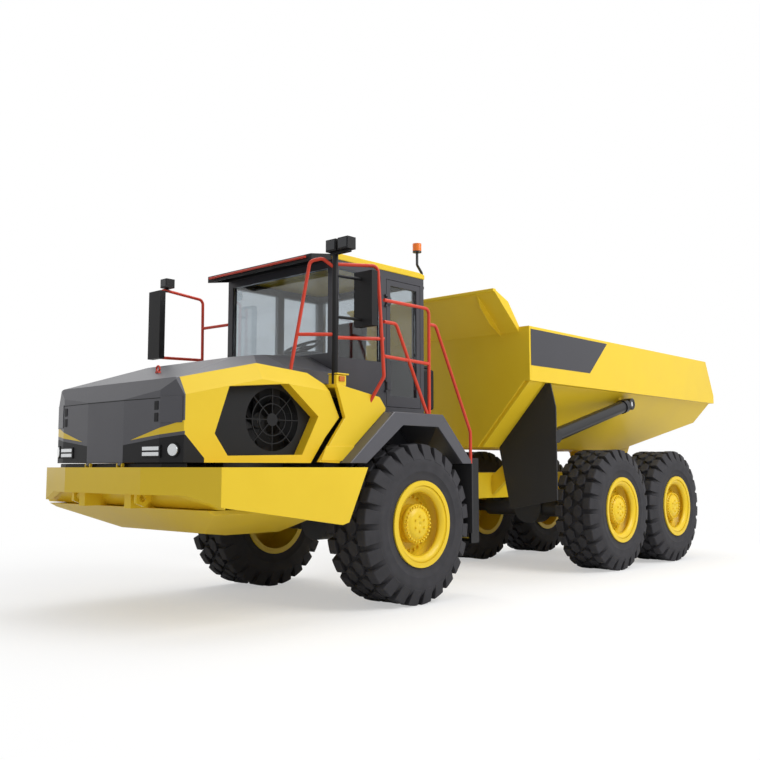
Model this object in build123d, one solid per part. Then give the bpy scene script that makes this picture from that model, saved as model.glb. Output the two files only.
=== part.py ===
# Articulated six-wheel dump truck: a tractor with cab and tilting hood, a hitch that steers and
# rolls, and a trailer frame that carries a tipping bed. Millimetres, +Z up, front towards -Y,
# left side towards +X. While it is built Y = 0 is the front axle. The last step moves the origin
# to the ground under the middle of the length.
import math
import os

from build123d import *

# Driving dimensions: the running gear
tyre_radius = 805
tyre_width = 620
tread_width = 516
lug_count = 24
lug_depth = 42
lug_root_x = 60
groove_width = 64
bulge_radius = 640
bead_radius = 406
bead_height = 34
rim_width = 572
rim_lip = 26
rim_lip_width = 18
rim_wall = 34
dish_depth = 190
disc_thickness = 45
hub_radius = 195
hub_length = 110
spindle_radius = 80
track = 2220
wheelbase = 4175
bogie_spacing = 1670
front_overhang = 2764
rear_overhang = 1600
axle_tube_radius = 130
axle_housing_radius = 225
axle_housing_length = 320
bogie_beam_width = 110
bogie_beam_x = 560
bogie_pivot_radius = 70

# Driving dimensions: tractor frame and hitch
frame_half_width = 430
frame_rail_width = 100
frame_rail_height = 240
axle_seat_height = 25
frame_rear_y = 560
yoke_plate = 60
yoke_gap = 320
yoke_end_radius = 170
hitch_y = 1210
hitch_pin_radius = 70
hitch_boss_radius = 150
roll_tube_radius = 200
roll_housing_wall = 60
roll_housing_length = 450
roll_housing_y = 1450
steer_pin_offset = 300
steer_pin_behind = 80
steer_bracket_reach = 155
steer_barrel_y = 300
steer_barrel_radius = 55
gland_wall = 12
gland_length = 90
bore_floor = 20
steer_retract = 230
steer_rod_show = 15
steer_rod_radius = 30
steer_eye_radius = 60
steer_pin_radius = 30
engine_width = 600
engine_length = 1350
engine_height = 700
engine_front_y = -2230

# Driving dimensions: bumper, hood and cab
bumper_half_width = 1430
bumper_top = 1370
bumper_wall = 50
bumper_fold_x = 630
bumper_corner_y = -2530
tow_eye_x = 520
tow_eye_radius = 30
hood_skin = 40
hood_bottom = 1410
hood_split_y = -1470
nose_front_x = 300
nose_corner_x = 800
nose_corner_y = -2700
nose_brow_z = 1960
side_front_x = 1040
side_front_y = -2625
side_rear_x = 1215
side_rear_y = -900
seam_inset = 90
brow_height = 150
ridge_x = 700
cowl_rear_z = 2500
recess_depth = 110
recess_wall = 14
screen_radius = 290
screen_wire = 9
fan_y = -1670
fan_z = 1800
fan_radius = 265
fan_shaft_radius = 25
cab_half_width = 850
cab_front_y = -720
cab_rear_y = 700
cab_floor = 1930
cab_wall = 60
cab_glass_thickness = 8
cab_roof_bottom = 3475
cab_roof_thickness = 75
roof_crown = 45
visor_reach = 290
visor_half_width = 840
pillar_y = 30
door_bottom = 2010
door_thickness = 50
fender_outer_x = 1400
fender_top = 1915
fender_foot = 1410
fender_skin = 25

# Driving dimensions: trailer frame and bed
rear_rail_outer_x = 400
rear_rail_width = 100
rear_rail_bottom = 980
rear_rail_height = 320
tip_pin_y = 6080
tip_pin_z = 1600
tip_pin_radius = 45
bed_half_width = 1350
bed_top = 3060
bed_band_bottom = 2400
bed_floor_z = 1620
bed_floor_half_width = 570
bed_front_y = 2070
bed_ramp_y = 5650
bed_tail_z = 2100
bed_plate = 25
bed_rail_width = 105
bed_shoulder = 80
spill_guard_y = 1570
spill_guard_top = 3460
spill_guard_inset = 150
flap_thickness = 20
hoist_inset = 70
hoist_low_y = 2640
hoist_low_z = 1745
hoist_high_y = 4650
hoist_high_z = 2250
hoist_rod_show = 40
hoist_barrel_radius = 85
hoist_rod_radius = 45
hoist_eye_radius = 75
hoist_pin_radius = 40
hoist_head_half = 60

# Clearances
running = 0.3
pin_fit = 0.1
moving_gap = 8
panel_gap = 12

axle_z = tyre_radius
bogie_ys = (wheelbase, wheelbase + bogie_spacing)
front_end_y = -front_overhang
rear_end_y = bogie_ys[1] + rear_overhang
middle_y = (front_end_y + rear_end_y) / 2
half_track = track / 2
steer_barrel_x = frame_half_width + steer_bracket_reach
hoist_x = bed_half_width - hoist_inset
spill_guard_half_width = bed_half_width - spill_guard_inset


def outline(points):
    """Flat face from corner points, with its front towards the viewer whichever way they run."""
    turns = sum(x0 * y1 - x1 * y0 for (x0, y0), (x1, y1) in zip(points, points[1:] + points[:1]))
    return Polygon(*(points if turns > 0 else points[::-1]), align=None)


def side_plate(points, x0, x1):
    """Solid between two X planes from an outline given as (y, z)."""
    return extrude(Plane.YZ.offset(x0) * outline(points), x1 - x0)


def cross_plate(points, y0, y1):
    """Solid between two Y planes from an outline given as (x, z)."""
    return extrude(Plane.XZ.offset(-y0) * outline(points), y0 - y1)


def flat_plate(points, z0, z1):
    """Solid between two Z planes from an outline given as (x, y)."""
    return extrude(Plane.XY.offset(z0) * outline(points), z1 - z0)


def block(x0, x1, y0, y1, z0, z1):
    centre = ((x0 + x1) / 2, (y0 + y1) / 2, (z0 + z1) / 2)
    return Pos(*centre) * Box(x1 - x0, y1 - y0, z1 - z0)


def bar(start, end, radius):
    """Round bar from one point to another."""
    start, end = Vector(*start), Vector(*end)
    line = end - start
    foot = Plane(origin=start, z_dir=line)
    return foot * Cylinder(radius, line.length, align=(Align.CENTER, Align.CENTER, Align.MIN))


def tube(points, radius, bend):
    """Bent round rail through the points."""
    path = FilletPolyline(*points, radius=bend) if len(points) > 2 else Line(*points)
    return sweep(Plane(origin=path @ 0, z_dir=path % 0) * Circle(radius), path)


def mirrored(shape):
    return mirror(shape, about=Plane.YZ)


def both(shape):
    """The piece and its mirror image on the other side, as two solids."""
    return Compound([*shape.solids(), *mirrored(shape).solids()])


def mirror_outline(half):
    """Outline that is closed across X = 0 from its half with positive X, bottom to top."""
    return list(half) + [(-x, v) for x, v in reversed(half)]


def save(name, shape):
    export_step(Pos(0, -middle_y, 0) * shape, f"parts/{name}.step")


os.makedirs("parts", exist_ok=True)


# Wheels: lugged tyre and a deep-dish rim with a planetary hub, outboard towards +X
def polygon_ring(profile):
    """Flat-sided body about X with one facet for each lug, from (x, radius of the flats) pairs."""
    corner = 1 / math.cos(math.pi / lug_count)
    lowest = 180 / lug_count - 90
    body = None
    for (x0, r0), (x1, r1) in zip(profile, profile[1:]):
        ends = [Plane.YZ.offset(x) * RegularPolygon(r * corner, lug_count, rotation=lowest)
                for x, r in ((x0, r0), (x1, r1))]
        slice_body = loft(ends, ruled=True)
        body = slice_body if body is None else body + slice_body
    return body


def turned(points):
    """Body of rotation about X from an outline given as (x, radius)."""
    return revolve(Plane.XZ * outline(points), Axis.X)


def tyre_body():
    """Carcass with shoulder lugs: the grooves of one side stand half a pitch from those of the other."""
    half = tyre_width / 2
    bead_x = rim_width / 2 - running
    right = [(tread_width / 2, tyre_radius), (half, bulge_radius)]
    body = polygon_ring([(-x, r) for x, r in reversed(right)] + right)
    bore = bead_radius + running
    body -= polygon_ring([(-half, bore), (half, bore)])
    sidewall = polygon_ring([(bead_x, bead_radius + bead_height), (half + 1, bulge_radius - bead_height)])
    body -= sidewall + mirrored(sidewall)
    section = [(lug_root_x, tyre_radius + lug_depth), (lug_root_x, tyre_radius - lug_depth),
               (half + 1, bulge_radius), (half + 1, tyre_radius + lug_depth)]
    groove = extrude(Plane.XZ * outline(section), groove_width / 2, both=True)
    pitch = 360 / lug_count
    for i in range(lug_count):
        body -= Rot(i * pitch, 0, 0) * groove
        body -= Rot((i + 0.5) * pitch, 0, 0) * mirrored(groove)
    return body


def rim_body():
    half = rim_width / 2
    outer = half + rim_lip_width
    lip = bead_radius + rim_lip
    disc = outer - dish_depth
    inner = bead_radius - rim_wall
    section = [
        (disc - disc_thickness, spindle_radius + running),
        (disc - disc_thickness, inner),
        (-outer, inner),
        (-outer, lip),
        (-half, lip),
        (-half, bead_radius),
        (half, bead_radius),
        (half, lip),
        (outer, lip),
        (outer, inner + 12),
        (disc + 60, inner),
        (disc, inner - 40),
        (disc, hub_radius),
        (disc + hub_length - 40, hub_radius),
        (disc + hub_length - 25, hub_radius - 40),
        (disc + hub_length, hub_radius - 75),
        (disc + hub_length, 0),
        (disc + 30, 0),
        (disc + 30, spindle_radius + running),
    ]
    return turned(section)


wheel_places = {
    "front": 0,
    "bogie_front": bogie_ys[0],
    "bogie_rear": bogie_ys[1],
}
left_tyre, left_rim = tyre_body(), rim_body()
right_tyre, right_rim = mirrored(left_tyre), mirrored(left_rim)
for place, y in wheel_places.items():
    save(f"tyre_{place}_left", Pos(half_track, y, axle_z) * left_tyre)
    save(f"rim_{place}_left", Pos(half_track, y, axle_z) * left_rim)
    save(f"tyre_{place}_right", Pos(-half_track, y, axle_z) * right_tyre)
    save(f"rim_{place}_right", Pos(-half_track, y, axle_z) * right_rim)


# Axles: tube with a round differential housing, stub spindles and seats for what they carry
hub_face_x = half_track + rim_width / 2 + rim_lip_width - dish_depth
spindle_end_x = hub_face_x + 30 - moving_gap
axle_tube_end_x = half_track - rim_width / 2 - 60
seat_top = axle_z + axle_tube_radius + axle_seat_height


def axle_body(seat_x, seat_width, seat_length):
    tube_body = bar((-axle_tube_end_x, 0, axle_z), (axle_tube_end_x, 0, axle_z), axle_tube_radius)
    spindles = bar((-spindle_end_x, 0, axle_z), (spindle_end_x, 0, axle_z), spindle_radius)
    half = axle_housing_length / 2
    housing = bar((0, -half, axle_z), (0, half, axle_z), axle_housing_radius)
    seat = block(seat_x - seat_width / 2, seat_x + seat_width / 2, -seat_length / 2,
                 seat_length / 2, axle_z, seat_top)
    return tube_body + spindles + housing + seat + mirrored(seat)


rail_centre_x = frame_half_width - frame_rail_width / 2
save("front_axle", axle_body(rail_centre_x, frame_rail_width, 240))
bogie_axle = axle_body(bogie_beam_x, bogie_beam_width, 220)
save("rear_axles", Compound([s for y in bogie_ys for s in (Pos(0, y, 0) * bogie_axle).solids()]))


# Tractor frame: two rails, cross members and a yoke of two plates round the hitch pin
frame_bottom = seat_top
frame_top = frame_bottom + frame_rail_height
yoke_centre_z = 1070
yoke_low = yoke_centre_z - yoke_gap / 2
yoke_high = yoke_centre_z + yoke_gap / 2
frame_front_y = front_end_y + 380
engine_seat_height = 40
rail_inner_x = frame_half_width - frame_rail_width


def yoke(z0):
    sides = [(-frame_half_width, frame_rear_y), (frame_half_width, frame_rear_y),
             (yoke_end_radius, hitch_y), (-yoke_end_radius, hitch_y)]
    plate = flat_plate(sides, z0, z0 + yoke_plate)
    plate += Pos(0, hitch_y, z0 + yoke_plate / 2) * Cylinder(yoke_end_radius, yoke_plate)
    return plate - Pos(0, hitch_y, z0 + yoke_plate / 2) * Cylinder(hitch_pin_radius + pin_fit, yoke_plate)


steer_z = yoke_centre_z + 75
steer_eye_half = steer_barrel_radius + gland_wall
steer_lug_top = steer_z - steer_eye_half - moving_gap
rail = block(rail_inner_x, frame_half_width, frame_front_y, frame_rear_y, frame_bottom, frame_top)
front_frame = rail + mirrored(rail)
front_frame += block(-frame_half_width, frame_half_width, frame_rear_y - 120, frame_rear_y,
                     yoke_low - yoke_plate, yoke_high + yoke_plate)
for y in (engine_front_y + 100, engine_front_y + engine_length - 200):
    front_frame += block(-rail_inner_x, rail_inner_x, y, y + 100, frame_bottom,
                         frame_bottom + engine_seat_height)
front_frame += block(-rail_inner_x, rail_inner_x, frame_front_y, frame_front_y + 60, frame_bottom,
                     frame_top)
front_frame += yoke(yoke_low - yoke_plate) + yoke(yoke_high)
steer_bracket = block(frame_half_width, steer_barrel_x + steer_eye_radius, steer_barrel_y - 70,
                      steer_barrel_y + 70, steer_lug_top - 40, steer_lug_top)
steer_bracket += bar((steer_barrel_x, steer_barrel_y, steer_lug_top - 40),
                     (steer_barrel_x, steer_barrel_y, steer_z + steer_eye_half), steer_pin_radius)
front_frame += steer_bracket + mirrored(steer_bracket)
save("front_frame", front_frame)

engine_bottom = frame_bottom + engine_seat_height
save("engine_block", block(-engine_width / 2, engine_width / 2, engine_front_y,
                           engine_front_y + engine_length, engine_bottom,
                           engine_bottom + engine_height))

# Hitch: upright pin in the yoke, and a lying tube on which the trailer rolls
hitch_low = yoke_low + moving_gap
hitch_high = yoke_high - moving_gap
roll_tube_front_y = roll_housing_y - 50
hitch = bar((0, hitch_y, hitch_low), (0, hitch_y, hitch_high), hitch_boss_radius)
hitch += bar((0, hitch_y, yoke_low - yoke_plate), (0, hitch_y, yoke_high + yoke_plate), hitch_pin_radius)
hitch += block(-hitch_boss_radius, hitch_boss_radius, hitch_y, roll_housing_y - 30, hitch_low, hitch_high)
hitch += bar((0, roll_tube_front_y, yoke_centre_z),
             (0, roll_housing_y + roll_housing_length - 40, yoke_centre_z), roll_tube_radius)
hitch += bar((0, roll_tube_front_y, yoke_centre_z), (0, roll_housing_y - moving_gap, yoke_centre_z),
             roll_tube_radius + roll_housing_wall)
steer_eye_y = hitch_y + steer_pin_behind
steer_arm = block(hitch_boss_radius - 20, steer_pin_offset, steer_eye_y - steer_eye_radius,
                  steer_eye_y + steer_eye_radius, steer_lug_top - 40, steer_lug_top)
steer_arm += bar((steer_pin_offset, steer_eye_y, steer_lug_top - 40),
                 (steer_pin_offset, steer_eye_y, steer_lug_top), steer_eye_radius)
hitch += steer_arm + mirrored(steer_arm)
save("hitch", hitch)


# Cylinders: a barrel with a base eye and a rod with a head eye, both eyes lying along one axis
def eye(point, axis, radius, width):
    offset = Vector(*axis) * (width / 2)
    centre = Vector(*point)
    return bar(tuple(centre - offset), tuple(centre + offset), radius)


def cylinder_pair(base, head, axis, barrel_radius, rod_radius, eye_radius, head_width, show, retract):
    """Barrel and rod between two eyes. The rod can go in by the retract length and still show a little."""
    base, head = Vector(*base), Vector(*head)
    line = (head - base).normalized()
    mouth = head - line * (eye_radius + retract + show)
    bore_end = base + line * (eye_radius + bore_floor)
    rod_end = bore_end + line * (bore_floor + retract)
    barrel = bar(tuple(base + line * (eye_radius * 0.6)), tuple(mouth), barrel_radius)
    barrel += bar(tuple(mouth - line * gland_length), tuple(mouth), barrel_radius + gland_wall)
    barrel += eye(tuple(base), axis, eye_radius, 2 * (barrel_radius + gland_wall))
    bore = bar(tuple(bore_end), tuple(mouth + line), rod_radius + running)
    rod = bar(tuple(rod_end), tuple(head), rod_radius)
    rod += eye(tuple(head), axis, eye_radius, head_width)
    return barrel - bore, rod


steer_base = (steer_barrel_x, steer_barrel_y, steer_z)
steer_head = (steer_pin_offset, steer_eye_y, steer_z)
steer_barrel, steer_rod = cylinder_pair(
    steer_base, steer_head, (0, 0, 1), steer_barrel_radius, steer_rod_radius, steer_eye_radius,
    2 * steer_eye_half, steer_rod_show, steer_retract)
steer_barrel -= eye(steer_base, (0, 0, 1), steer_pin_radius + pin_fit, 2 * steer_eye_half + 2)
save("steer_barrel_left", steer_barrel)
save("steer_rod_left", steer_rod)
save("steer_barrel_right", mirrored(steer_barrel))
save("steer_rod_right", mirrored(steer_rod))

hoist_base = (hoist_x, hoist_low_y, hoist_low_z)
hoist_head = (hoist_x, hoist_high_y, hoist_high_z)
hoist_eye_half = hoist_barrel_radius + gland_wall
hoist_boss_inner_x = hoist_x - hoist_eye_half - moving_gap
hoist_boss_width = 100
hoist_barrel, hoist_rod = cylinder_pair(
    hoist_base, hoist_head, (1, 0, 0), hoist_barrel_radius, hoist_rod_radius, hoist_eye_radius,
    2 * hoist_head_half, hoist_rod_show, 0)
hoist_barrel += bar((hoist_boss_inner_x - hoist_boss_width, hoist_low_y, hoist_low_z), hoist_base,
                    hoist_pin_radius)
save("hoist_barrel_left", hoist_barrel)
save("hoist_rod_left", hoist_rod)
save("hoist_barrel_right", mirrored(hoist_barrel))
save("hoist_rod_right", mirrored(hoist_rod))

# Trailer frame: roll housing, two rails, hoist arms, bogie shaft and tail ears for the bed's pins
rear_rail_top = rear_rail_bottom + rear_rail_height
rear_rail_inner_x = rear_rail_outer_x - rear_rail_width
housing_rear_y = roll_housing_y + roll_housing_length
bogie_y = sum(bogie_ys) / 2
bogie_beam_top_z = seat_top + 120
tail_y = tip_pin_y + 150
housing_radius = roll_tube_radius + roll_housing_wall
rear_frame = bar((0, roll_housing_y, yoke_centre_z), (0, housing_rear_y, yoke_centre_z), housing_radius)
rear_frame -= bar((0, roll_housing_y, yoke_centre_z), (0, housing_rear_y, yoke_centre_z),
                  roll_tube_radius + running)
rear_frame += block(-rear_rail_outer_x, rear_rail_outer_x, housing_rear_y, housing_rear_y + 260,
                    yoke_centre_z - housing_radius, rear_rail_top)
rear_rail = block(rear_rail_inner_x, rear_rail_outer_x, housing_rear_y + 200, tail_y,
                  rear_rail_bottom, rear_rail_top)
tail_ear = side_plate([(tip_pin_y - 200, rear_rail_top - 10), (tip_pin_y - 90, tip_pin_z),
                       (tip_pin_y + 90, tip_pin_z), (tail_y, rear_rail_top - 10)],
                      rear_rail_inner_x, rear_rail_outer_x)
tail_ear += bar((rear_rail_inner_x, tip_pin_y, tip_pin_z), (rear_rail_outer_x, tip_pin_y, tip_pin_z), 90)
tail_ear -= bar((rear_rail_inner_x, tip_pin_y, tip_pin_z), (rear_rail_outer_x, tip_pin_y, tip_pin_z),
                tip_pin_radius + pin_fit)
arm_half = 40
hoist_arm = cross_plate([(rear_rail_outer_x, rear_rail_bottom + 40),
                         (hoist_boss_inner_x, hoist_low_z - 60), (hoist_boss_inner_x, hoist_low_z + 60),
                         (hoist_boss_inner_x - hoist_boss_width, hoist_low_z + 60),
                         (rear_rail_outer_x, rear_rail_top - 40)],
                        hoist_low_y - arm_half, hoist_low_y + arm_half)
hoist_boss = ((hoist_boss_inner_x - hoist_boss_width, hoist_low_y, hoist_low_z),
              (hoist_boss_inner_x, hoist_low_y, hoist_low_z))
hoist_arm += bar(*hoist_boss, hoist_eye_radius)
hoist_arm -= bar(*hoist_boss, hoist_pin_radius + pin_fit)
bogie_shaft = bar((rear_rail_inner_x, bogie_y, bogie_beam_top_z),
                  (bogie_beam_x + bogie_beam_width / 2, bogie_y, bogie_beam_top_z), bogie_pivot_radius)
side = rear_rail + tail_ear + hoist_arm + bogie_shaft
rear_frame += side + mirrored(side)
for y in (3050, bogie_y, tip_pin_y - 300):
    rear_frame += block(-rear_rail_inner_x, rear_rail_inner_x, y - 60, y + 60, rear_rail_bottom + 100,
                        rear_rail_top - 20)
tail_beam_half_width = 720
rear_frame += block(-tail_beam_half_width, tail_beam_half_width, tail_y, tail_y + 80,
                    rear_rail_top - 130, rear_rail_top)
save("rear_frame", rear_frame)

# Bogie beams: one walking beam a side, hung on the bogie shaft and resting on both axles
beam_outline = [(bogie_ys[0] - 130, seat_top), (bogie_ys[1] + 130, seat_top),
                (bogie_ys[1] + 130, seat_top + 90), (bogie_y + 260, bogie_beam_top_z + 110),
                (bogie_y - 260, bogie_beam_top_z + 110), (bogie_ys[0] - 130, seat_top + 90)]
beam = side_plate(beam_outline, bogie_beam_x - bogie_beam_width / 2, bogie_beam_x + bogie_beam_width / 2)
beam -= bar((bogie_beam_x - bogie_beam_width, bogie_y, bogie_beam_top_z),
            (bogie_beam_x + bogie_beam_width, bogie_y, bogie_beam_top_z), bogie_pivot_radius + running)
save("bogie_beams", both(beam))

lamp_width = 240
lamp = block(tail_beam_half_width - lamp_width, tail_beam_half_width, tail_y + 80, tail_y + 120,
             rear_rail_top - 120, rear_rail_top - 10)
save("tail_lamps", both(lamp))


# Bed: floor with a tail ramp, two sides with a box rail, and a front wall with its spill guard
ramp_length_y = rear_end_y - bed_ramp_y
ramp_slope = math.atan2(bed_tail_z - bed_floor_z, ramp_length_y)
side_lean = (bed_half_width - bed_shoulder - bed_floor_half_width) / (bed_band_bottom - bed_floor_z)
side_foot = bed_plate * math.hypot(1, side_lean)
bed_inner_foot_x = bed_floor_half_width - side_foot


def bed_inside_x(z):
    """Half width inside the bed's leaning sides at a height."""
    return bed_inner_foot_x + (z - bed_floor_z) * side_lean


def bed_outside_z(x):
    """Height of the leaning side's outer face at a distance from the middle."""
    return bed_floor_z + (x - bed_floor_half_width) / side_lean


def ramp_z(y):
    return bed_floor_z + (y - bed_ramp_y) * math.tan(ramp_slope)


floor_edge_x = bed_inner_foot_x - running
bed_floor = block(-floor_edge_x, floor_edge_x, bed_front_y + bed_plate, bed_ramp_y, bed_floor_z,
                  bed_floor_z + bed_plate)
ramp_plane = Plane(origin=(0, bed_ramp_y, bed_floor_z), x_dir=(1, 0, 0),
                   z_dir=(0, -math.sin(ramp_slope), math.cos(ramp_slope)))
ramp_run = ramp_length_y / math.cos(ramp_slope) - bed_plate
tail_edge_x = bed_inside_x(bed_floor_z + ramp_run * math.sin(ramp_slope)) - running
ramp = extrude(ramp_plane * Polygon((-floor_edge_x, 0), (floor_edge_x, 0), (tail_edge_x, ramp_run),
                                    (-tail_edge_x, ramp_run), align=None), bed_plate)
bed_floor += ramp
lug_inner_x = rear_rail_outer_x + moving_gap
lug_width = 60
lug_radius = 85
lug_foot = (tip_pin_y - 220, tip_pin_y + 220)
lug = side_plate([(lug_foot[0], ramp_z(lug_foot[0]) + 8), (lug_foot[1], ramp_z(lug_foot[1]) + 8),
                  (tip_pin_y + lug_radius, tip_pin_z), (tip_pin_y - lug_radius, tip_pin_z)],
                 lug_inner_x, lug_inner_x + lug_width)
lug += bar((lug_inner_x, tip_pin_y, tip_pin_z), (lug_inner_x + lug_width, tip_pin_y, tip_pin_z), lug_radius)
lug += bar((rear_rail_inner_x - 10, tip_pin_y, tip_pin_z), (lug_inner_x, tip_pin_y, tip_pin_z), tip_pin_radius)
bed_floor += lug + mirrored(lug)
save("bed_floor", bed_floor)

shoulder_x = bed_half_width - bed_shoulder
rail_inner = bed_half_width - bed_rail_width
section = [(bed_half_width, bed_top), (bed_half_width, bed_band_bottom), (shoulder_x, bed_band_bottom),
           (bed_floor_half_width, bed_floor_z), (bed_inner_foot_x, bed_floor_z),
           (rail_inner, bed_floor_z + (rail_inner - bed_inner_foot_x) / side_lean), (rail_inner, bed_top)]
bed_side = cross_plate(section, bed_front_y + bed_plate, rear_end_y)
below = 50
ramp_run_below = below / math.tan(ramp_slope)
side_profile = [(bed_front_y, bed_floor_z - below), (bed_ramp_y - ramp_run_below, bed_floor_z - below),
                (rear_end_y, bed_tail_z), (rear_end_y, bed_band_bottom + 140), (rear_end_y - 270, bed_top),
                (bed_front_y, bed_top)]
bed_side &= side_plate(side_profile, 0, bed_half_width)
hoist_lug_x = hoist_x - hoist_head_half - moving_gap
hoist_lug_foot_x = hoist_lug_x - 50
hoist_lug_low = hoist_high_z - 70
hoist_lug = side_plate([(hoist_high_y - 170, bed_band_bottom), (hoist_high_y + 170, bed_band_bottom),
                        (hoist_high_y + 70, hoist_lug_low), (hoist_high_y - 70, hoist_lug_low)],
                       hoist_lug_foot_x, hoist_lug_x)
plate_middle = bed_plate / 2
hoist_lug &= cross_plate([(hoist_lug_foot_x, hoist_lug_low), (hoist_lug_x, hoist_lug_low),
                          (hoist_lug_x, bed_outside_z(hoist_lug_x) + plate_middle),
                          (hoist_lug_foot_x, bed_outside_z(hoist_lug_foot_x) + plate_middle)],
                         hoist_high_y - 170, hoist_high_y + 170)
bed_side += hoist_lug
rib_proud = 45
rib_length = 330
rib_x = rib_proud * math.hypot(1, side_lean)
bed_side += cross_plate([(bed_floor_half_width, bed_floor_z), (shoulder_x, bed_band_bottom),
                         (shoulder_x + rib_x, bed_band_bottom), (bed_floor_half_width + rib_x, bed_floor_z)],
                        bed_front_y + bed_plate, bed_front_y + rib_length)
save("bed_side_left", bed_side)
save("bed_side_right", mirrored(bed_side))

wall_outline = mirror_outline([(bed_floor_half_width, bed_floor_z), (shoulder_x, bed_band_bottom),
                               (bed_half_width, bed_band_bottom), (bed_half_width, bed_top)])
front_wall = cross_plate(wall_outline, bed_front_y, bed_front_y + bed_plate)
guard = side_plate([(bed_front_y, bed_top - 60), (bed_front_y + bed_plate, bed_top),
                    (spill_guard_y + bed_plate, spill_guard_top), (spill_guard_y, spill_guard_top),
                    (spill_guard_y, spill_guard_top - 30)],
                   -spill_guard_half_width, spill_guard_half_width)
front_wall += guard
rim_depth = 40
front_wall += block(-spill_guard_half_width, spill_guard_half_width, spill_guard_y - rim_depth / 2,
                    spill_guard_y + rim_depth, spill_guard_top - rim_depth, spill_guard_top)
gusset_plate = 25
wing = side_plate([(spill_guard_y, spill_guard_top), (spill_guard_y + 290, spill_guard_top - 120),
                   (bed_front_y + bed_plate, bed_top), (bed_front_y, bed_top - 60)],
                  spill_guard_half_width - gusset_plate, spill_guard_half_width)
gusset_x = spill_guard_half_width - 260
gusset = side_plate([(spill_guard_y + 20, spill_guard_top - 45), (spill_guard_y + 90, spill_guard_top - 190),
                     (spill_guard_y + 270, spill_guard_top - 360), (bed_front_y + 5, bed_top - 90),
                     (bed_front_y + 5, bed_top - 10)],
                    gusset_x - gusset_plate, gusset_x)
front_wall += wing + mirrored(wing) + gusset + mirrored(gusset)
save("bed_front_wall", front_wall)

flap_y = hoist_low_y - hoist_eye_radius - flap_thickness - 15
side_gap = running * math.hypot(1, side_lean)
flap_outer_x = bed_half_width + 60
flap_foot_x = bed_floor_half_width + side_gap
flap_top_x = shoulder_x + side_gap
flap_top_z = bed_band_bottom - running
flap_outline = [(bed_floor_half_width + 160, 850), (flap_outer_x, 975), (flap_outer_x, bed_band_bottom - 300),
                (bed_half_width - 10, flap_top_z), (flap_top_x, flap_top_z), (flap_foot_x, bed_floor_z)]
save("mud_flaps", both(cross_plate(flap_outline, flap_y, flap_y + flap_thickness)))

# Bumper: folded wrap-round plate with a shelf on top and two tow eyes under its front
bumper_rear_y = -820
fold_z = bumper_top - 230
fold_plate = 25
tow_eye_y = front_end_y + 85
tow_eye_z = bumper_top - 265
tow_edge_y = tow_eye_y + tow_eye_radius + 20
bumper_plan = mirror_outline([(bumper_half_width, bumper_rear_y), (bumper_half_width, bumper_corner_y),
                              (bumper_fold_x, front_end_y)])
inner_half = bumper_half_width - bumper_wall
inner_plan = mirror_outline([(inner_half, bumper_rear_y + 100), (inner_half, bumper_corner_y + 20),
                             (bumper_fold_x - 15, front_end_y + bumper_wall)])
bumper_side = [(front_end_y, bumper_top), (bumper_rear_y, bumper_top), (bumper_rear_y - 250, bumper_top - 500),
               (bumper_rear_y - 330, bumper_top - 520), (bumper_corner_y, bumper_top - 320),
               (tow_edge_y, fold_z), (front_end_y, fold_z)]
bumper = flat_plate(bumper_plan, 0, bumper_top) - flat_plate(inner_plan, 0, bumper_top - 30)
bumper &= side_plate(bumper_side, -bumper_half_width, bumper_half_width)
bumper -= block(-700, 700, front_end_y + 350, bumper_rear_y + 100, 0, bumper_top + 10)
eye_half = 20
tow_eye = side_plate([(tow_eye_y - 50, bumper_top - 120), (tow_eye_y + 90, bumper_top - 120),
                      (tow_eye_y + 90, tow_eye_z - 20), (tow_eye_y + 20, tow_eye_z - 70),
                      (tow_eye_y - 60, tow_eye_z - 40)],
                     tow_eye_x - eye_half, tow_eye_x + eye_half)
tow_eye -= bar((tow_eye_x - 60, tow_eye_y, tow_eye_z), (tow_eye_x + 60, tow_eye_y, tow_eye_z), tow_eye_radius)
carrier_bottom = frame_bottom + 60
bumper_carrier = block(rail_inner_x, frame_half_width, front_end_y + bumper_wall - 10, frame_front_y,
                       carrier_bottom, frame_top - 20)
bumper += tow_eye + mirrored(tow_eye) + bumper_carrier + mirrored(bumper_carrier)
fold_y = tow_eye_y + 110
fold_end = (fold_y + 80, carrier_bottom + moving_gap)
fold = side_plate([(front_end_y + 10, fold_z), (fold_y, fold_z), fold_end,
                   (fold_end[0], fold_end[1] + fold_plate), (fold_y, fold_z + fold_plate),
                   (front_end_y + 10, fold_z + fold_plate)],
                  -bumper_half_width, bumper_half_width)
bumper += fold & flat_plate(bumper_plan, 0, bumper_top)
hinge_x = 240
hinge_width = 50
hinge_radius = 14
hinge_ear_radius = 12
hinge_pin_radius = 8
hinge_y = front_end_y + 30
hinge_z = hood_bottom - 16
for x in (hinge_x - 20, hinge_x + hinge_width + 5):
    ear = block(x, x + 15, hinge_y - hinge_ear_radius, hinge_y + hinge_ear_radius, bumper_top - 10, hinge_z)
    ear += bar((x, hinge_y, hinge_z), (x + 15, hinge_y, hinge_z), hinge_ear_radius)
    bumper += ear + mirrored(ear)
hinge_pin = bar((hinge_x - 20, hinge_y, hinge_z), (hinge_x + hinge_width + 20, hinge_y, hinge_z),
                hinge_pin_radius)
bumper += hinge_pin + mirrored(hinge_pin)
save("front_bumper", bumper)

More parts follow.
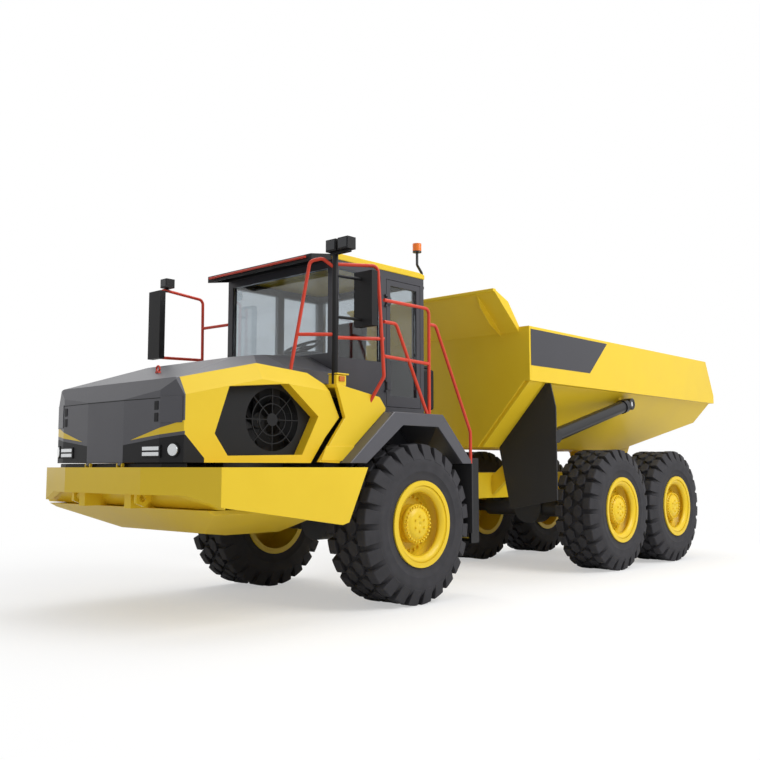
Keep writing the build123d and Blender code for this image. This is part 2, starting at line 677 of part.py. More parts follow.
# Belly pan: tapered tray under the engine, open on top, folded from flat plates
pan_top = carrier_bottom
pan_bottom = 750
pan_rear_y = bumper_rear_y - 330
pan_half_width = bumper_half_width - 140
pan_floor_half_width = 560
pan_skin = 20
pan_side = [(front_end_y + 200, pan_top), (front_end_y + 640, pan_bottom + 35),
            (front_end_y + 960, pan_bottom), (pan_rear_y, pan_bottom), (pan_rear_y, pan_top)]
pan_front = mirror_outline([(pan_floor_half_width, pan_bottom), (pan_half_width, pan_top - 40),
                            (pan_half_width, pan_top)])


def pan_body(inset):
    """Tray as where its side view and front view meet, each drawn in by the inset."""
    side_view = offset(outline(pan_side), -inset, kind=Kind.INTERSECTION) if inset else outline(pan_side)
    front_view = offset(outline(pan_front), -inset, kind=Kind.INTERSECTION) if inset else outline(pan_front)
    along = extrude(Plane.YZ.offset(-bumper_half_width) * side_view, 2 * bumper_half_width)
    return along & extrude(Plane.XZ * front_view, -front_end_y)


pan_hollow = pan_body(pan_skin)
save("belly_pan", pan_body(0) - pan_hollow - Pos(0, pan_skin, pan_skin) * pan_hollow)

# Hood: one shell of leaning planes, cut into a dark top and nose, yellow sides and lamp housings
nose_y = front_end_y + 30
ridge_line = [(nose_y, nose_brow_z), (nose_y + 94, nose_brow_z + 165), (-1850, 2385), (hood_split_y, 2437),
              (cab_front_y, cowl_rear_z)]
seam_line = [(-2573, 2135), (-1857, 2300), (-1220, 2244)]
hood_plan = [(nose_front_x, nose_y), (nose_corner_x, nose_corner_y), (side_front_x, side_front_y),
             (side_rear_x, side_rear_y)]


def side_x(y):
    """Half width of the hood's tapered side at a place along its length."""
    return side_front_x + (side_rear_x - side_front_x) * (y - side_front_y) / (side_rear_y - side_front_y)


def ridge_z(y):
    """Height of the hood's top line at a place along its length."""
    for (y0, z0), (y1, z1) in zip(ridge_line, ridge_line[1:]):
        if y <= y1:
            return z0 + (z1 - z0) * (y - y0) / (y1 - y0)
    return cowl_rear_z


def outer_plane(a, b, c):
    """Point and outward normal of the plane through three points of the left half."""
    normal = (Vector(*b) - Vector(*a)).cross(Vector(*c) - Vector(*a)).normalized()
    outward = Vector(*a) - Vector(0, engine_front_y, bumper_top)
    return Vector(*a), normal if normal.dot(outward) > 0 else normal * -1


seam = [(side_x(y) - seam_inset, y, z) for y, z in seam_line]
hood_planes = [outer_plane((0, nose_y, 0), (1, nose_y, 0), (0, nose_y, 1))]
for (x0, y0), (x1, y1) in zip(hood_plan, hood_plan[1:]):
    hood_planes.append(outer_plane((x0, y0, bumper_top), (x1, y1, bumper_top), (x0, y0, hood_bottom)))
side_plane = hood_planes[-1]
for (y0, z0), (y1, z1) in zip(ridge_line, ridge_line[1:]):
    hood_planes.append(outer_plane((0, y0, z0), (1, y0, z0), (0, y1, z1)))
for a, b, ridge_y in ((seam[0], seam[1], seam[1][1]), (seam[1], seam[2], hood_split_y)):
    hood_planes.append(outer_plane(a, b, (ridge_x, ridge_y, ridge_z(ridge_y))))
    hood_planes.append(outer_plane(a, b, (side_x(a[1]), a[1], a[2] - brow_height)))


def hood_body(inset):
    """Solid hood with every outer plane moved inwards, open below and towards the cab."""
    widest = side_x(cab_front_y)
    body = block(-widest, widest, nose_y, cab_front_y + inset, hood_bottom - inset, cowl_rear_z)
    for point, normal in hood_planes:
        for sign in (1, -1) if abs(normal.X) > 1e-6 else (1,):
            out = Vector(sign * normal.X, normal.Y, normal.Z)
            origin = Vector(sign * point.X, point.Y, point.Z) - out * inset
            body = split(body, bisect_by=Plane(origin=origin, z_dir=out), keep=Keep.BOTTOM)
    return body


hood_outer = hood_body(0)
hood_inner = hood_body(hood_skin)
hood_shell = hood_outer - hood_inner
lamp_corner_z = 1640
lamp_inner_z = 1562
lamp_rear_y = side_front_y + 195
lamp_foot_z = hood_bottom + 38
lamp_slope = (lamp_corner_z - lamp_inner_z) / (side_front_x - nose_front_x)


def lamp_region(grow):
    """Room of the left lamp housing, which wraps round the nose's corner."""
    wide_z = lamp_inner_z + (side_rear_x - nose_front_x) * lamp_slope
    front = [(nose_front_x - grow, hood_bottom), (nose_front_x - grow, lamp_inner_z + grow),
             (side_rear_x, wide_z + grow), (side_rear_x, hood_bottom)]
    side = [(front_end_y, hood_bottom), (front_end_y, lamp_corner_z + grow),
            (side_front_y + 15, lamp_corner_z + grow), (lamp_rear_y + grow, lamp_foot_z + grow),
            (lamp_rear_y + grow, hood_bottom)]
    return cross_plate(front, front_end_y, lamp_rear_y + grow) & side_plate(side, 0, side_rear_x)


rear_apex = (-985, 1840)
hood_rear = [(-1316, hood_bottom), (-1152, 1646), rear_apex, (-1133, 2150), (-1290, 2250)]
nose_edge_y = side_front_y + 10
side_outline = [(nose_edge_y, hood_bottom), *hood_rear, seam_line[1], seam_line[0],
                (nose_edge_y, seam_line[0][1] - 10)]
wedge_tip_x = nose_front_x + 100
wedge_end_x = side_front_x + 60
wedge_gap = 30
wedge_outline = [(wedge_tip_x, lamp_inner_z + wedge_gap + 100 * lamp_slope),
                 (wedge_end_x, lamp_inner_z + wedge_gap + (wedge_end_x - nose_front_x) * lamp_slope),
                 (wedge_end_x, lamp_inner_z + wedge_gap + 182)]


def yellow_region(grow):
    """Room of the left yellow panel: the hood's side and a wedge that runs on over the nose."""
    room = extrude(Plane.YZ.offset(ridge_x) * offset(outline(side_outline), grow, kind=Kind.INTERSECTION),
                   side_rear_x)
    wedge = offset(outline(wedge_outline), grow, kind=Kind.INTERSECTION)
    return room + extrude(Plane.XZ.offset(-nose_edge_y - 20) * wedge, nose_edge_y + 20 - front_end_y)


hexagon = [(-2333, 1656), (-2194, 2068), (-1571, 2126), (-1231, 1840), (-1415, 1484), (-2202, 1469)]
opening = side_plate(hexagon, 0, 2 * side_rear_x)
recess = extrude(Plane.YZ * offset(outline(hexagon), recess_wall, kind=Kind.INTERSECTION), 2 * side_rear_x)
screen_thickness = 10
recess_back = recess_depth + screen_thickness
recess_ring = (recess - opening) & (hood_outer - hood_body(recess_back))
yellow_side = (hood_shell & yellow_region(0)) - lamp_region(running) - opening + recess_ring
save("hood_sides", both(yellow_side))

lamp = hood_shell & lamp_region(0)
save("headlamps", both(lamp))

hood_top = hood_shell & block(-side_rear_x, side_rear_x, front_end_y, hood_split_y, hood_bottom, cowl_rear_z)
for room in (yellow_region(running), lamp_region(running)):
    hood_top -= room + mirrored(room)
knuckle = bar((hinge_x, nose_y, hinge_z), (hinge_x + hinge_width, nose_y, hinge_z), hinge_radius)
knuckle += block(hinge_x, hinge_x + hinge_width, nose_y, nose_y + hinge_radius, hinge_z, hood_bottom + 5)
knuckle -= bar((hinge_x - 1, nose_y, hinge_z), (hinge_x + hinge_width + 1, nose_y, hinge_z),
               hinge_pin_radius + pin_fit)
hood_top += knuckle + mirrored(knuckle)
save("hood_top", hood_top)

# Screens at the back of the recesses: a plate with a round grille of rings and spokes
side_point, side_normal = side_plane
screen = extrude(Plane.YZ * offset(outline(hexagon), -running, kind=Kind.INTERSECTION), 2 * side_rear_x)
for depth, keep in ((recess_depth, Keep.BOTTOM), (recess_back, Keep.TOP)):
    cut = Plane(origin=side_point - side_normal * depth, z_dir=side_normal)
    screen = split(screen, bisect_by=cut, keep=keep)
screen_middle = Vector(side_x(fan_y), fan_y, fan_z) - side_normal * recess_back
screen_plane = Plane(origin=screen_middle, x_dir=(0, 1, 0), z_dir=side_normal)
screen -= extrude(screen_plane * Circle(screen_radius), recess_depth, both=True)
spoke_count = 8
grille = Circle(screen_radius / 5)
for i in range(3):
    ring_radius = screen_radius * (1 - i / 4) + screen_wire / 2
    grille += Circle(ring_radius) - Circle(ring_radius - screen_wire)
for i in range(spoke_count // 2):
    grille += Rot(0, 0, 360 / spoke_count * i) * Rectangle(2 * screen_radius, screen_wire)
screen += extrude(screen_plane * grille, screen_thickness)
save("fan_guards", both(screen))

# Cooler and fan behind the left opening
cooler_x = 640
cooler_width = 120
cooler = block(cooler_x, cooler_x + cooler_width, fan_y - 330, fan_y + 330, bumper_top, fan_z + 320)
shaft_end = cooler_x + cooler_width + 90
cooler += bar((cooler_x, fan_y, fan_z), (shaft_end, fan_y, fan_z), fan_shaft_radius)
save("cooler", cooler)
blade_count = 7
hub = bar((cooler_x + cooler_width + 15, fan_y, fan_z), (shaft_end - 5, fan_y, fan_z), 70)
standing = (Align.CENTER, Align.CENTER, Align.MIN)
blade = Pos(cooler_x + cooler_width + 50, 0, 0) * Rot(0, 0, 25) * Box(8, 120, fan_radius - 50, align=standing)
fan = hub
for i in range(blade_count):
    fan += Pos(0, fan_y, fan_z) * Rot(360 / blade_count * i, 0, 0) * Pos(0, 0, 50) * blade
fan -= bar((cooler_x, fan_y, fan_z), (shaft_end + 10, fan_y, fan_z), fan_shaft_radius + pin_fit)
save("cooling_fan", fan)

# Cab: base on the frame, hollow shell with window openings, roof, glass, door and interior
base_half_width = 700
base_step_z = 1320
base_front_y = cab_front_y + 20
base_rear_y = cab_rear_y - 60
cab_base = block(-base_half_width, base_half_width, base_front_y, base_rear_y, base_step_z, cab_floor)
cab_base += block(-frame_half_width, frame_half_width, base_front_y, frame_rear_y - 160, frame_top,
                  base_step_z)
save("cab_base", cab_base)

window_top = cab_roof_bottom - 85
window_sill = 2480
screen_sill = 2520
post_half = 45
front_window_y = (cab_front_y + 80, pillar_y - post_half)
rear_window_y = (pillar_y + post_half, cab_rear_y - 60)
wall_in = cab_half_width - cab_wall
cab = block(-cab_half_width, cab_half_width, cab_front_y, cab_rear_y, cab_floor, cab_roof_bottom)
cab -= block(-wall_in, wall_in, cab_front_y + cab_wall, cab_rear_y - cab_wall, cab_floor + cab_wall,
             cab_roof_bottom)
screen_x = (-cab_half_width + 80, cab_half_width - 80)
rear_glass_x = cab_half_width - 130
glass_cuts = [
    (screen_x[0], screen_x[1], cab_front_y - 1, cab_front_y + cab_wall + 1, screen_sill, window_top),
    (-rear_glass_x, rear_glass_x, cab_rear_y - cab_wall - 1, cab_rear_y + 1, screen_sill + 80, window_top),
    (wall_in - 1, cab_half_width + 1, *front_window_y, window_sill, window_top),
    (-cab_half_width - 1, -wall_in + 1, *front_window_y, window_sill, window_top),
    (-cab_half_width - 1, -wall_in + 1, *rear_window_y, window_sill, window_top),
]
for cut in glass_cuts:
    cab -= block(*cut)
cab -= block(wall_in - 1, cab_half_width + 1, *rear_window_y, door_bottom, window_top)
door_hinge_x = cab_half_width + 14
door_hinge_y = rear_window_y[0]
door_hinge_radius = 13
door_ear_radius = 10
door_pin_radius = 7
door_hinge_zs = (door_bottom + 180, window_top - 280)
door_hinge_length = 80
for z in door_hinge_zs:
    for ear_z in (z - 25, z + door_hinge_length + 5):
        cab += block(cab_half_width, door_hinge_x + door_ear_radius, door_hinge_y - 30, door_hinge_y, ear_z,
                     ear_z + 20)
        cab += bar((door_hinge_x, door_hinge_y, ear_z), (door_hinge_x, door_hinge_y, ear_z + 20),
                   door_ear_radius)
    cab += bar((door_hinge_x, door_hinge_y, z - 25), (door_hinge_x, door_hinge_y, z + door_hinge_length + 25),
               door_pin_radius)
save("cab_frame", cab)

glass_half = cab_glass_thickness / 2
glass_mid_x = cab_half_width - cab_wall / 2
front_glass_y = cab_front_y + cab_wall / 2
back_glass_y = cab_rear_y - cab_wall / 2
panes = [
    block(screen_x[0] + running, screen_x[1] - running, front_glass_y - glass_half, front_glass_y + glass_half,
          screen_sill + running, window_top - running),
    block(-rear_glass_x + running, rear_glass_x - running, back_glass_y - glass_half, back_glass_y + glass_half,
          screen_sill + 80 + running, window_top - running),
]
for side_sign, y_pair in ((1, front_window_y), (-1, front_window_y), (-1, rear_window_y)):
    xs = sorted((side_sign * (glass_mid_x - glass_half), side_sign * (glass_mid_x + glass_half)))
    panes.append(block(*xs, y_pair[0] + running, y_pair[1] - running, window_sill + running,
                       window_top - running))
save("cab_glass", Compound([s for pane in panes for s in pane.solids()]))

roof_half_width = cab_half_width + 10
roof_front_y = cab_front_y - 10
roof_rear_y = cab_rear_y + 10
roof_top = cab_roof_bottom + cab_roof_thickness
roof_edge = roof_top - 25
crown_top = roof_top + roof_crown
roof = side_plate([(roof_front_y, cab_roof_bottom), (roof_front_y, roof_edge), (roof_front_y + 330, crown_top),
                   (roof_rear_y - 420, crown_top), (roof_rear_y, roof_edge), (roof_rear_y, cab_roof_bottom)],
                  -roof_half_width, roof_half_width)
roof_section = mirror_outline([(roof_half_width, cab_roof_bottom), (roof_half_width, roof_top - 10),
                               (roof_half_width - 130, roof_top + 20), (roof_half_width - 420, crown_top)])
roof &= cross_plate(roof_section, roof_front_y, roof_rear_y)
save("cab_roof", roof)

visor_rear_y = roof_front_y - running
visor_front_y = visor_rear_y - visor_reach
visor_skin = 30
visor_low = cab_roof_bottom - 65
visor = side_plate([(visor_front_y, visor_low), (visor_front_y, cab_roof_bottom + 5), (visor_rear_y, roof_edge),
                    (visor_rear_y, cab_roof_bottom - 15)], -visor_half_width, visor_half_width)
visor_hollow_y = (visor_front_y + visor_skin, visor_rear_y - visor_skin)
visor -= side_plate([(visor_hollow_y[0], visor_low - 10), (visor_hollow_y[0], cab_roof_bottom - 20),
                     (visor_hollow_y[1], roof_edge - visor_skin), (visor_hollow_y[1], visor_low - 10)],
                    visor_skin - visor_half_width, visor_half_width - visor_skin)
save("sun_visor", visor)

door_gap = 6
door_y = (rear_window_y[0] + door_gap, rear_window_y[1] - door_gap)
door_z = (door_bottom + door_gap, window_top - door_gap)
door_frame = 60
door_x = (cab_half_width - door_thickness, cab_half_width)
door_window_sill = door_bottom + 120
door = block(*door_x, *door_y, *door_z)
door -= block(door_x[0] - 1, door_x[1] + 1, door_y[0] + door_frame, door_y[1] - door_frame, door_window_sill,
              door_z[1] - door_frame)
for z in door_hinge_zs:
    knuckle = bar((door_hinge_x, door_hinge_y, z), (door_hinge_x, door_hinge_y, z + door_hinge_length),
                  door_hinge_radius)
    knuckle += block(cab_half_width - 10, door_hinge_x + 5, door_hinge_y + 7, door_hinge_y + 60, z,
                     z + door_hinge_length)
    door += knuckle
    door -= bar((door_hinge_x, door_hinge_y, z - 1), (door_hinge_x, door_hinge_y, z + door_hinge_length + 1),
                door_pin_radius + pin_fit)
save("cab_door", door)
door_mid_x = sum(door_x) / 2
save("cab_door_glass", block(door_mid_x - glass_half, door_mid_x + glass_half, door_y[0] + door_frame + running,
                             door_y[1] - door_frame - running, door_window_sill + running,
                             door_z[1] - door_frame - running))

deck_z = cab_floor + cab_wall
seat = block(-260, 260, -150, 380, deck_z, deck_z + 480)
seat += block(-250, 250, 300, 430, deck_z + 400, deck_z + 1050)
console = block(-520, 520, cab_front_y + cab_wall + 20, cab_front_y + 330, deck_z, deck_z + 560)
console += bar((0, cab_front_y + 300, deck_z + 540), (0, cab_front_y + 380, deck_z + 700), 35)
console += bar((0, cab_front_y + 375, deck_z + 690), (0, cab_front_y + 385, deck_z + 715), 220)
save("cab_interior", Compound([*seat.solids(), *console.solids()]))

# Cowl between the hood and the windscreen, in line with the hood's top
cowl_half_width = side_front_x - 2 * hood_skin
cowl_low = cowl_rear_z - 320
cowl_front_y = hood_split_y + panel_gap
cowl = hood_outer & block(-cowl_half_width, cowl_half_width, cowl_front_y, cab_front_y, cowl_low, cowl_rear_z)
cowl_inside = cowl_half_width - hood_skin
cowl -= hood_inner & block(-cowl_inside, cowl_inside, hood_split_y, cab_front_y - hood_skin, hood_bottom,
                           cowl_rear_z)
save("cowl", cowl)

# Fenders over the front wheels, yellow deck panels ahead of them and flaps behind
fender_rear_y = 860
fender_outer = [(-1030, fender_foot), (-410, fender_top), (350, fender_top), (fender_rear_y, fender_foot)]
fender_inner = [(-1000, fender_foot), (-400, fender_top - fender_skin), (340, fender_top - fender_skin),
                (fender_rear_y - 30, fender_foot)]
lip_inner = [(-800, fender_foot), (-280, fender_top - 130), (270, fender_top - 130), (680, fender_foot)]
fender = side_plate(fender_outer + list(reversed(fender_inner)), base_half_width, fender_outer_x)
fender += side_plate(fender_outer + list(reversed(lip_inner)), fender_outer_x - 30, fender_outer_x)
save("fenders", both(fender))
flap = block(820, fender_outer_x, fender_rear_y - 25, fender_rear_y, 670, fender_foot - running)
save("front_mud_flaps", both(flap))

panel_x = side_rear_x + 45
panel_notch = (rear_apex[0] + 30, rear_apex[1])
panel_top = [(-1075, 2155), (-471, 2060), (-385, fender_top + 45), (-395, fender_top + 5), (-411, fender_top)]
panel_outline = panel_top + [(-1031, fender_foot), (-1290, fender_foot + 8), panel_notch]
deck_top = panel_top + [(-485, 2030), (-1070, 2122)]
panel = side_plate(panel_outline, panel_x - 40, panel_x)
panel += side_plate(deck_top, cab_half_width + 10, panel_x)
save("deck_panels", both(panel))

# Mirror post on the left deck panel, handrails round both sides of the cab
post_x = 1200
post_y = -1040
post_radius = 30
post_top = 3400
mirror_post = bar((post_x, post_y, cab_floor), (post_x, post_y, post_top), post_radius)
mirror_post -= block(0, panel_x, post_y - 100, post_y + 100, 0, panel_top[0][1] - 20) + panel
rail_radius = 17
rail_bend = 60
rail_x = fender_outer_x - 15
rail_front_y = -549
rail_rear_y = 140
rail_foot = (panel_x - 20, -600, 2000)
rail_tops = (3330, 3005)


def rail(*points):
    return tube(list(points), rail_radius, rail_bend)


left_rails = rail((post_x, post_y, post_top - 90), (rail_x, -640, rail_tops[0]), (rail_x, rail_front_y, 2250),
                  rail_foot)
left_rails += rail((post_x, post_y, 2600), (rail_x, rail_front_y, 2620))
left_rails += rail((rail_x, rail_front_y, rail_tops[1]), (rail_x, rail_rear_y, rail_tops[1]),
                   (rail_x, rail_rear_y, fender_top))
left_rails += rail((rail_x, rail_front_y, 2450), (rail_x, rail_rear_y, 2432))
left_rails += rail((rail_x, rail_front_y, 2790), (rail_x, -372, 2790), (rail_x, 105, fender_top))
left_rails += rail((rail_x, rail_rear_y, 2843), (rail_x, 250, 2843), (rail_x, 835, 1750), (rail_x, 835, 1412))
nose_rail = [(950, -1395, 2200), (1050, -1230, 3330), (1130, -1140, 3360), (post_x, post_y, 3270)]
left_rails += rail(*nose_rail)
left_rails += rail((985, -1337, 2620), (post_x, post_y, 2630))
cowl_room = hood_outer & block(-cowl_half_width, cowl_half_width, cowl_front_y, cab_front_y, hood_bottom,
                               cowl_rear_z)
left_rails -= fender + panel + mirror_post + cowl_room
right_rails = rail((-rail_x, -1255, 2600), (-rail_x, -1265, 3380), (-rail_x, -680, rail_tops[0]),
                   (-rail_x, -670, 2250), (-rail_foot[0], rail_foot[1], rail_foot[2]))
right_rails += rail((-rail_x, -1255, 2600), (-rail_x, -670, 2620))
right_rails += rail((-rail_x, -675, 2995), (-wall_in, -640, 2995))
right_rails -= mirrored(panel) + block(-cab_half_width, 0, cab_front_y, cab_rear_y, cab_floor, cab_roof_bottom)
save("handrails", Compound([*left_rails.solids(), *right_rails.solids()]))

# Mirrors: the left head on its post, the right one ahead of the rail
left_mirror = mirror_post + block(1180, 1420, -760, -680, 2730, 3270)
for z in (2800, 3200):
    left_mirror += bar((post_x, post_y, z), (1260, -750, z), 15)
right_head_x = -rail_x - 45
right_mirror_width = 220
right_mirror = block(right_head_x, right_head_x + right_mirror_width, -1385, -1315, 2570, 3330)
for z in (2700, 3200):
    right_mirror += bar((-rail_x, -1316, z), (-rail_x, -1260, z), 14)
right_mirror -= right_rails
save("mirrors", Compound([*left_mirror.solids(), *right_mirror.solids()]))

# Work lamps over the mirrors and the beacon on its pole behind the cab
lamp_bar_z = post_top + running
left_lamps = block(1150, 1400, post_y - 20, post_y + 20, lamp_bar_z, lamp_bar_z + 30)
for x in (1130, 1290):
    left_lamps += block(x, x + 135, post_y - 60, post_y + 50, lamp_bar_z + 25, lamp_bar_z + 140)
right_lamp_width = 120
right_lamp = block(right_head_x, right_head_x + right_lamp_width, -1240, -1130, 3400, 3500)
right_lamp += block(-rail_x - 15, -rail_x + 15, -1200, -1170, 3355, 3405)
right_lamp -= right_rails
save("work_lamps", Compound([*left_lamps.solids(), *right_lamp.solids()]))
pole_x = 800
pole_y = cab_rear_y + 30
pole_low = window_top - 15
beacon_y = 649
beacon_z = crown_top + 195
beacon = tube([(pole_x, pole_y, pole_low), (pole_x, pole_y, crown_top - 33), (pole_x, beacon_y, crown_top + 48),
               (pole_x, beacon_y, beacon_z)], 15, 30)
beacon += block(pole_x - 20, pole_x + 20, cab_rear_y + running, pole_y + 15, pole_low, pole_low + 30)
beacon += bar((pole_x, beacon_y, beacon_z - 5), (pole_x, beacon_y, beacon_z + 95), 50)
save("beacon", beacon)

# Ladder behind the left fender
step_count = 3
step_pitch = 330
step_height = 30
stile_bottom = 560
ladder_y = (fender_rear_y + 10, fender_rear_y + 150)
stiles = ((930, 960), (1330, 1360))
ladder = None
for x0, x1 in stiles:
    stile = block(x0, x1, *ladder_y, stile_bottom, fender_foot - 5)
    ladder = stile if ladder is None else ladder + stile
for i in range(step_count):
    z = stile_bottom + 20 + i * step_pitch
    ladder += block(stiles[0][0], stiles[1][1], *ladder_y, z, z + step_height)
hook_rise = 60
hook_run = hook_rise * (fender_rear_y - 350) / (fender_top - fender_foot)
hook_y = fender_rear_y + running
hook = [(hook_y, fender_foot - 10), (hook_y, fender_foot), (hook_y - hook_run, fender_foot + hook_rise),
        (ladder_y[1], fender_foot + hook_rise), (ladder_y[1], fender_foot - 10)]
for x0, x1 in stiles:
    ladder += side_plate(hook, x0, x1)
save("access_ladder", ladder)
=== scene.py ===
# The frame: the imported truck, in metres, with its front towards -Y and its left side towards +X.
# Everything below is put on these solids, which are neither moved nor resized.
import math

import bmesh
import bpy
from mathutils import Matrix, Vector


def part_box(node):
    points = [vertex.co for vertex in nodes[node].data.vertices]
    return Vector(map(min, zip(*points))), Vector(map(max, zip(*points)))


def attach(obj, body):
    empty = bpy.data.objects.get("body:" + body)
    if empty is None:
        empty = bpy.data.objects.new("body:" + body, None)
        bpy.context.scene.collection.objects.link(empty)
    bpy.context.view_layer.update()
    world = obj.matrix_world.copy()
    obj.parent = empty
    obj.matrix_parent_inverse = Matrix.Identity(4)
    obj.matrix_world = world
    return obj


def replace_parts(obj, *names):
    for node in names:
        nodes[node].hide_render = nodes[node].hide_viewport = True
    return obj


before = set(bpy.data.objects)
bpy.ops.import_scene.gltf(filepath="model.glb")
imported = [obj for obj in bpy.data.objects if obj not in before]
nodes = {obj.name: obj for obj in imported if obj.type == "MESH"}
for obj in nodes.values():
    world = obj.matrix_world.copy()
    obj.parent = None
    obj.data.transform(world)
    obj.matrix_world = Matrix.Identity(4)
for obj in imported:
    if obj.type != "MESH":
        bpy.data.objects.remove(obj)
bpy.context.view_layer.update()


# Chassis: welded box-section rails, the hitch and the walking beams of the bogie. They are sprayed
# with two-pack machine paint, which dries to a smooth golden yellow with a slight orange peel.
def linear(colour):
    """An sRGB hex colour as linear red, green, blue and alpha."""
    parts = [int(colour[i:i + 2], 16) / 255 for i in (1, 3, 5)]
    return [p / 12.92 if p <= 0.04045 else ((p + 0.055) / 1.055) ** 2.4 for p in parts] + [1.0]


def add_node(owner, kind, sockets, **options):
    """Adds a shader node. Sockets are given as values, or as outputs of other nodes to link."""
    node = owner.node_tree.nodes.new(kind)
    for name, value in options.items():
        setattr(node, name, value)
    for name, value in sockets.items():
        if isinstance(value, bpy.types.NodeSocket):
            owner.node_tree.links.new(value, node.inputs[name])
        else:
            node.inputs[name].default_value = value
    return node


def new_material(name):
    """An empty material and its Object coordinates."""
    material = bpy.data.materials.new(name)
    material.use_nodes = True
    material.node_tree.nodes.clear()
    place = add_node(material, "ShaderNodeTexCoord", {}).outputs["Object"]
    return material, place


def noise(material, place, size_mm, detail):
    """Soft patches of about a size."""
    sockets = {"Vector": place, "Scale": 1000 / size_mm, "Detail": detail}
    return add_node(material, "ShaderNodeTexNoise", sockets).outputs["Fac"]


def blend(material, amount, first, second):
    """A mix of two hex colours."""
    sockets = {0: amount, 6: linear(first), 7: linear(second)}
    return add_node(material, "ShaderNodeMix", sockets, data_type="RGBA").outputs[2]


def spread(material, value, low, high):
    """A value from 0 to 1, spread between two others."""
    sockets = {"Value": value, "To Min": low, "To Max": high}
    return add_node(material, "ShaderNodeMapRange", sockets).outputs[0]


def relief(material, height, strength, depth):
    """Small bumps that only the light shows."""
    sockets = {"Height": height, "Strength": strength, "Distance": depth}
    return add_node(material, "ShaderNodeBump", sockets).outputs[0]


def show(material, shader):
    """Ends a material with its shader."""
    add_node(material, "ShaderNodeOutputMaterial", {"Surface": shader.outputs[0]})
    return material


def machine_paint(name, colour, shade, roughness):
    """Sprayed two-pack paint: clouds of a slightly deeper shade and an orange peel a few mm wide."""
    material, place = new_material(name)
    cloud_mm, peel_mm = 420, 9
    cloud = noise(material, place, cloud_mm, 4.0)
    peel = noise(material, place, peel_mm, 2.0)
    shader = add_node(material, "ShaderNodeBsdfPrincipled", {
        "Base Color": blend(material, cloud, shade, colour),
        "Roughness": spread(material, cloud, roughness - 0.06, roughness + 0.08),
        "Normal": relief(material, peel, 0.06, 0.002),
        "Specular IOR Level": 0.3, "Coat Weight": 0.08, "Coat Roughness": 0.12})
    return show(material, shader)


def dress(names, material):
    """Gives CAD nodes a finish."""
    for name in names:
        nodes[name].data.materials.clear()
        nodes[name].data.materials.append(material)


yellow_paint = machine_paint("two_pack_yellow", "#F0CE2E", "#E8C426", 0.36)
dress(["front_frame", "rear_frame", "hitch", "bogie_beams"], yellow_paint)

# Axles: cast housings with stub spindles that carry the wheels. They come from the makers of axles
# in a dark grey primer, and keep it.
grey_paint = machine_paint("axle_grey_paint", "#3A3B3E", "#303134", 0.5)
dress(["front_axle", "rear_axles"], grey_paint)


# Tyres: radial earthmover tyres with deep shoulder lugs, two rows of blocks along the middle and a
# rounded sidewall. The rubber is carbon black with a dull bloom.
def tyre_rubber(name):
    """Cured rubber: a grey bloom in soft patches over black, with a fine grit."""
    material, place = new_material(name)
    bloom_mm, grit_mm = 130, 6
    bloom = noise(material, place, bloom_mm, 6.0)
    grit = noise(material, place, grit_mm, 2.0)
    shader = add_node(material, "ShaderNodeBsdfPrincipled", {
        "Base Color": blend(material, bloom, "#2B2B2E", "#403F43"),
        "Normal": relief(material, grit, 0.25, 0.003), "Roughness": 0.82, "Specular IOR Level": 0.35})
    return show(material, shader)


def turn(shape, angle, axis):
    """Turns a whole shape about an axis through the origin."""
    bmesh.ops.rotate(shape, verts=shape.verts, cent=(0, 0, 0), matrix=Matrix.Rotation(angle, 3, axis))


def move(shape, way):
    """Moves a whole shape."""
    bmesh.ops.translate(shape, verts=shape.verts, vec=way)


def mesh_of(name, shape):
    """Turns a shape into a mesh."""
    mesh = bpy.data.meshes.new(name)
    shape.to_mesh(mesh)
    shape.free()
    return mesh


def lathe(profile, steps):
    """A closed ring about X from an outline of (x, radius), with smooth faces."""
    shape = bmesh.new()
    corners = [shape.verts.new((x, 0, r)) for x, r in profile]
    edges = [shape.edges.new(pair) for pair in zip(corners, corners[1:] + corners[:1])]
    bmesh.ops.spin(shape, geom=corners + edges, cent=(0, 0, 0), axis=(1, 0, 0), angle=2 * math.pi,
                   steps=steps, use_merge=True)
    bmesh.ops.remove_doubles(shape, verts=shape.verts, dist=0.0001)
    bmesh.ops.recalc_face_normals(shape, faces=shape.faces)
    for face in shape.faces:
        face.smooth = True
    return shape


def round_edges(shape, width, least_angle=0.6):
    """Rounds the edges where two faces meet at more than an angle in radians."""
    sharp = [e for e in shape.edges if len(e.link_faces) == 2 and e.calc_face_angle(0) > least_angle]
    bmesh.ops.bevel(shape, geom=sharp, offset=width, segments=2, profile=0.5, affect="EDGES",
                    material=-1)


def pull_out(shape, faces, way):
    """Extrudes faces into a solid."""
    made = bmesh.ops.extrude_face_region(shape, geom=faces)["geom"]
    bmesh.ops.translate(shape, verts=[v for v in made if isinstance(v, bmesh.types.BMVert)], vec=way)
    bmesh.ops.recalc_face_normals(shape, faces=shape.faces)


def shoulder_lug(section, arc):
    """One shoulder lug: a section of (x, radius) swept round the axle and rounded."""
    shape = bmesh.new()
    corners = [shape.verts.new((x, 0, r)) for x, r in section]
    face = shape.faces.new(corners)
    bmesh.ops.spin(shape, geom=[face, *face.edges, *corners], cent=(0, 0, 0), axis=(1, 0, 0), angle=arc,
                   steps=3)
    bmesh.ops.holes_fill(shape, edges=[e for e in shape.edges if e.is_boundary])
    turn(shape, -arc / 2, "X")
    bmesh.ops.recalc_face_normals(shape, faces=shape.faces)
    round_edges(shape, 0.007)
    return mesh_of("tread_block", shape)


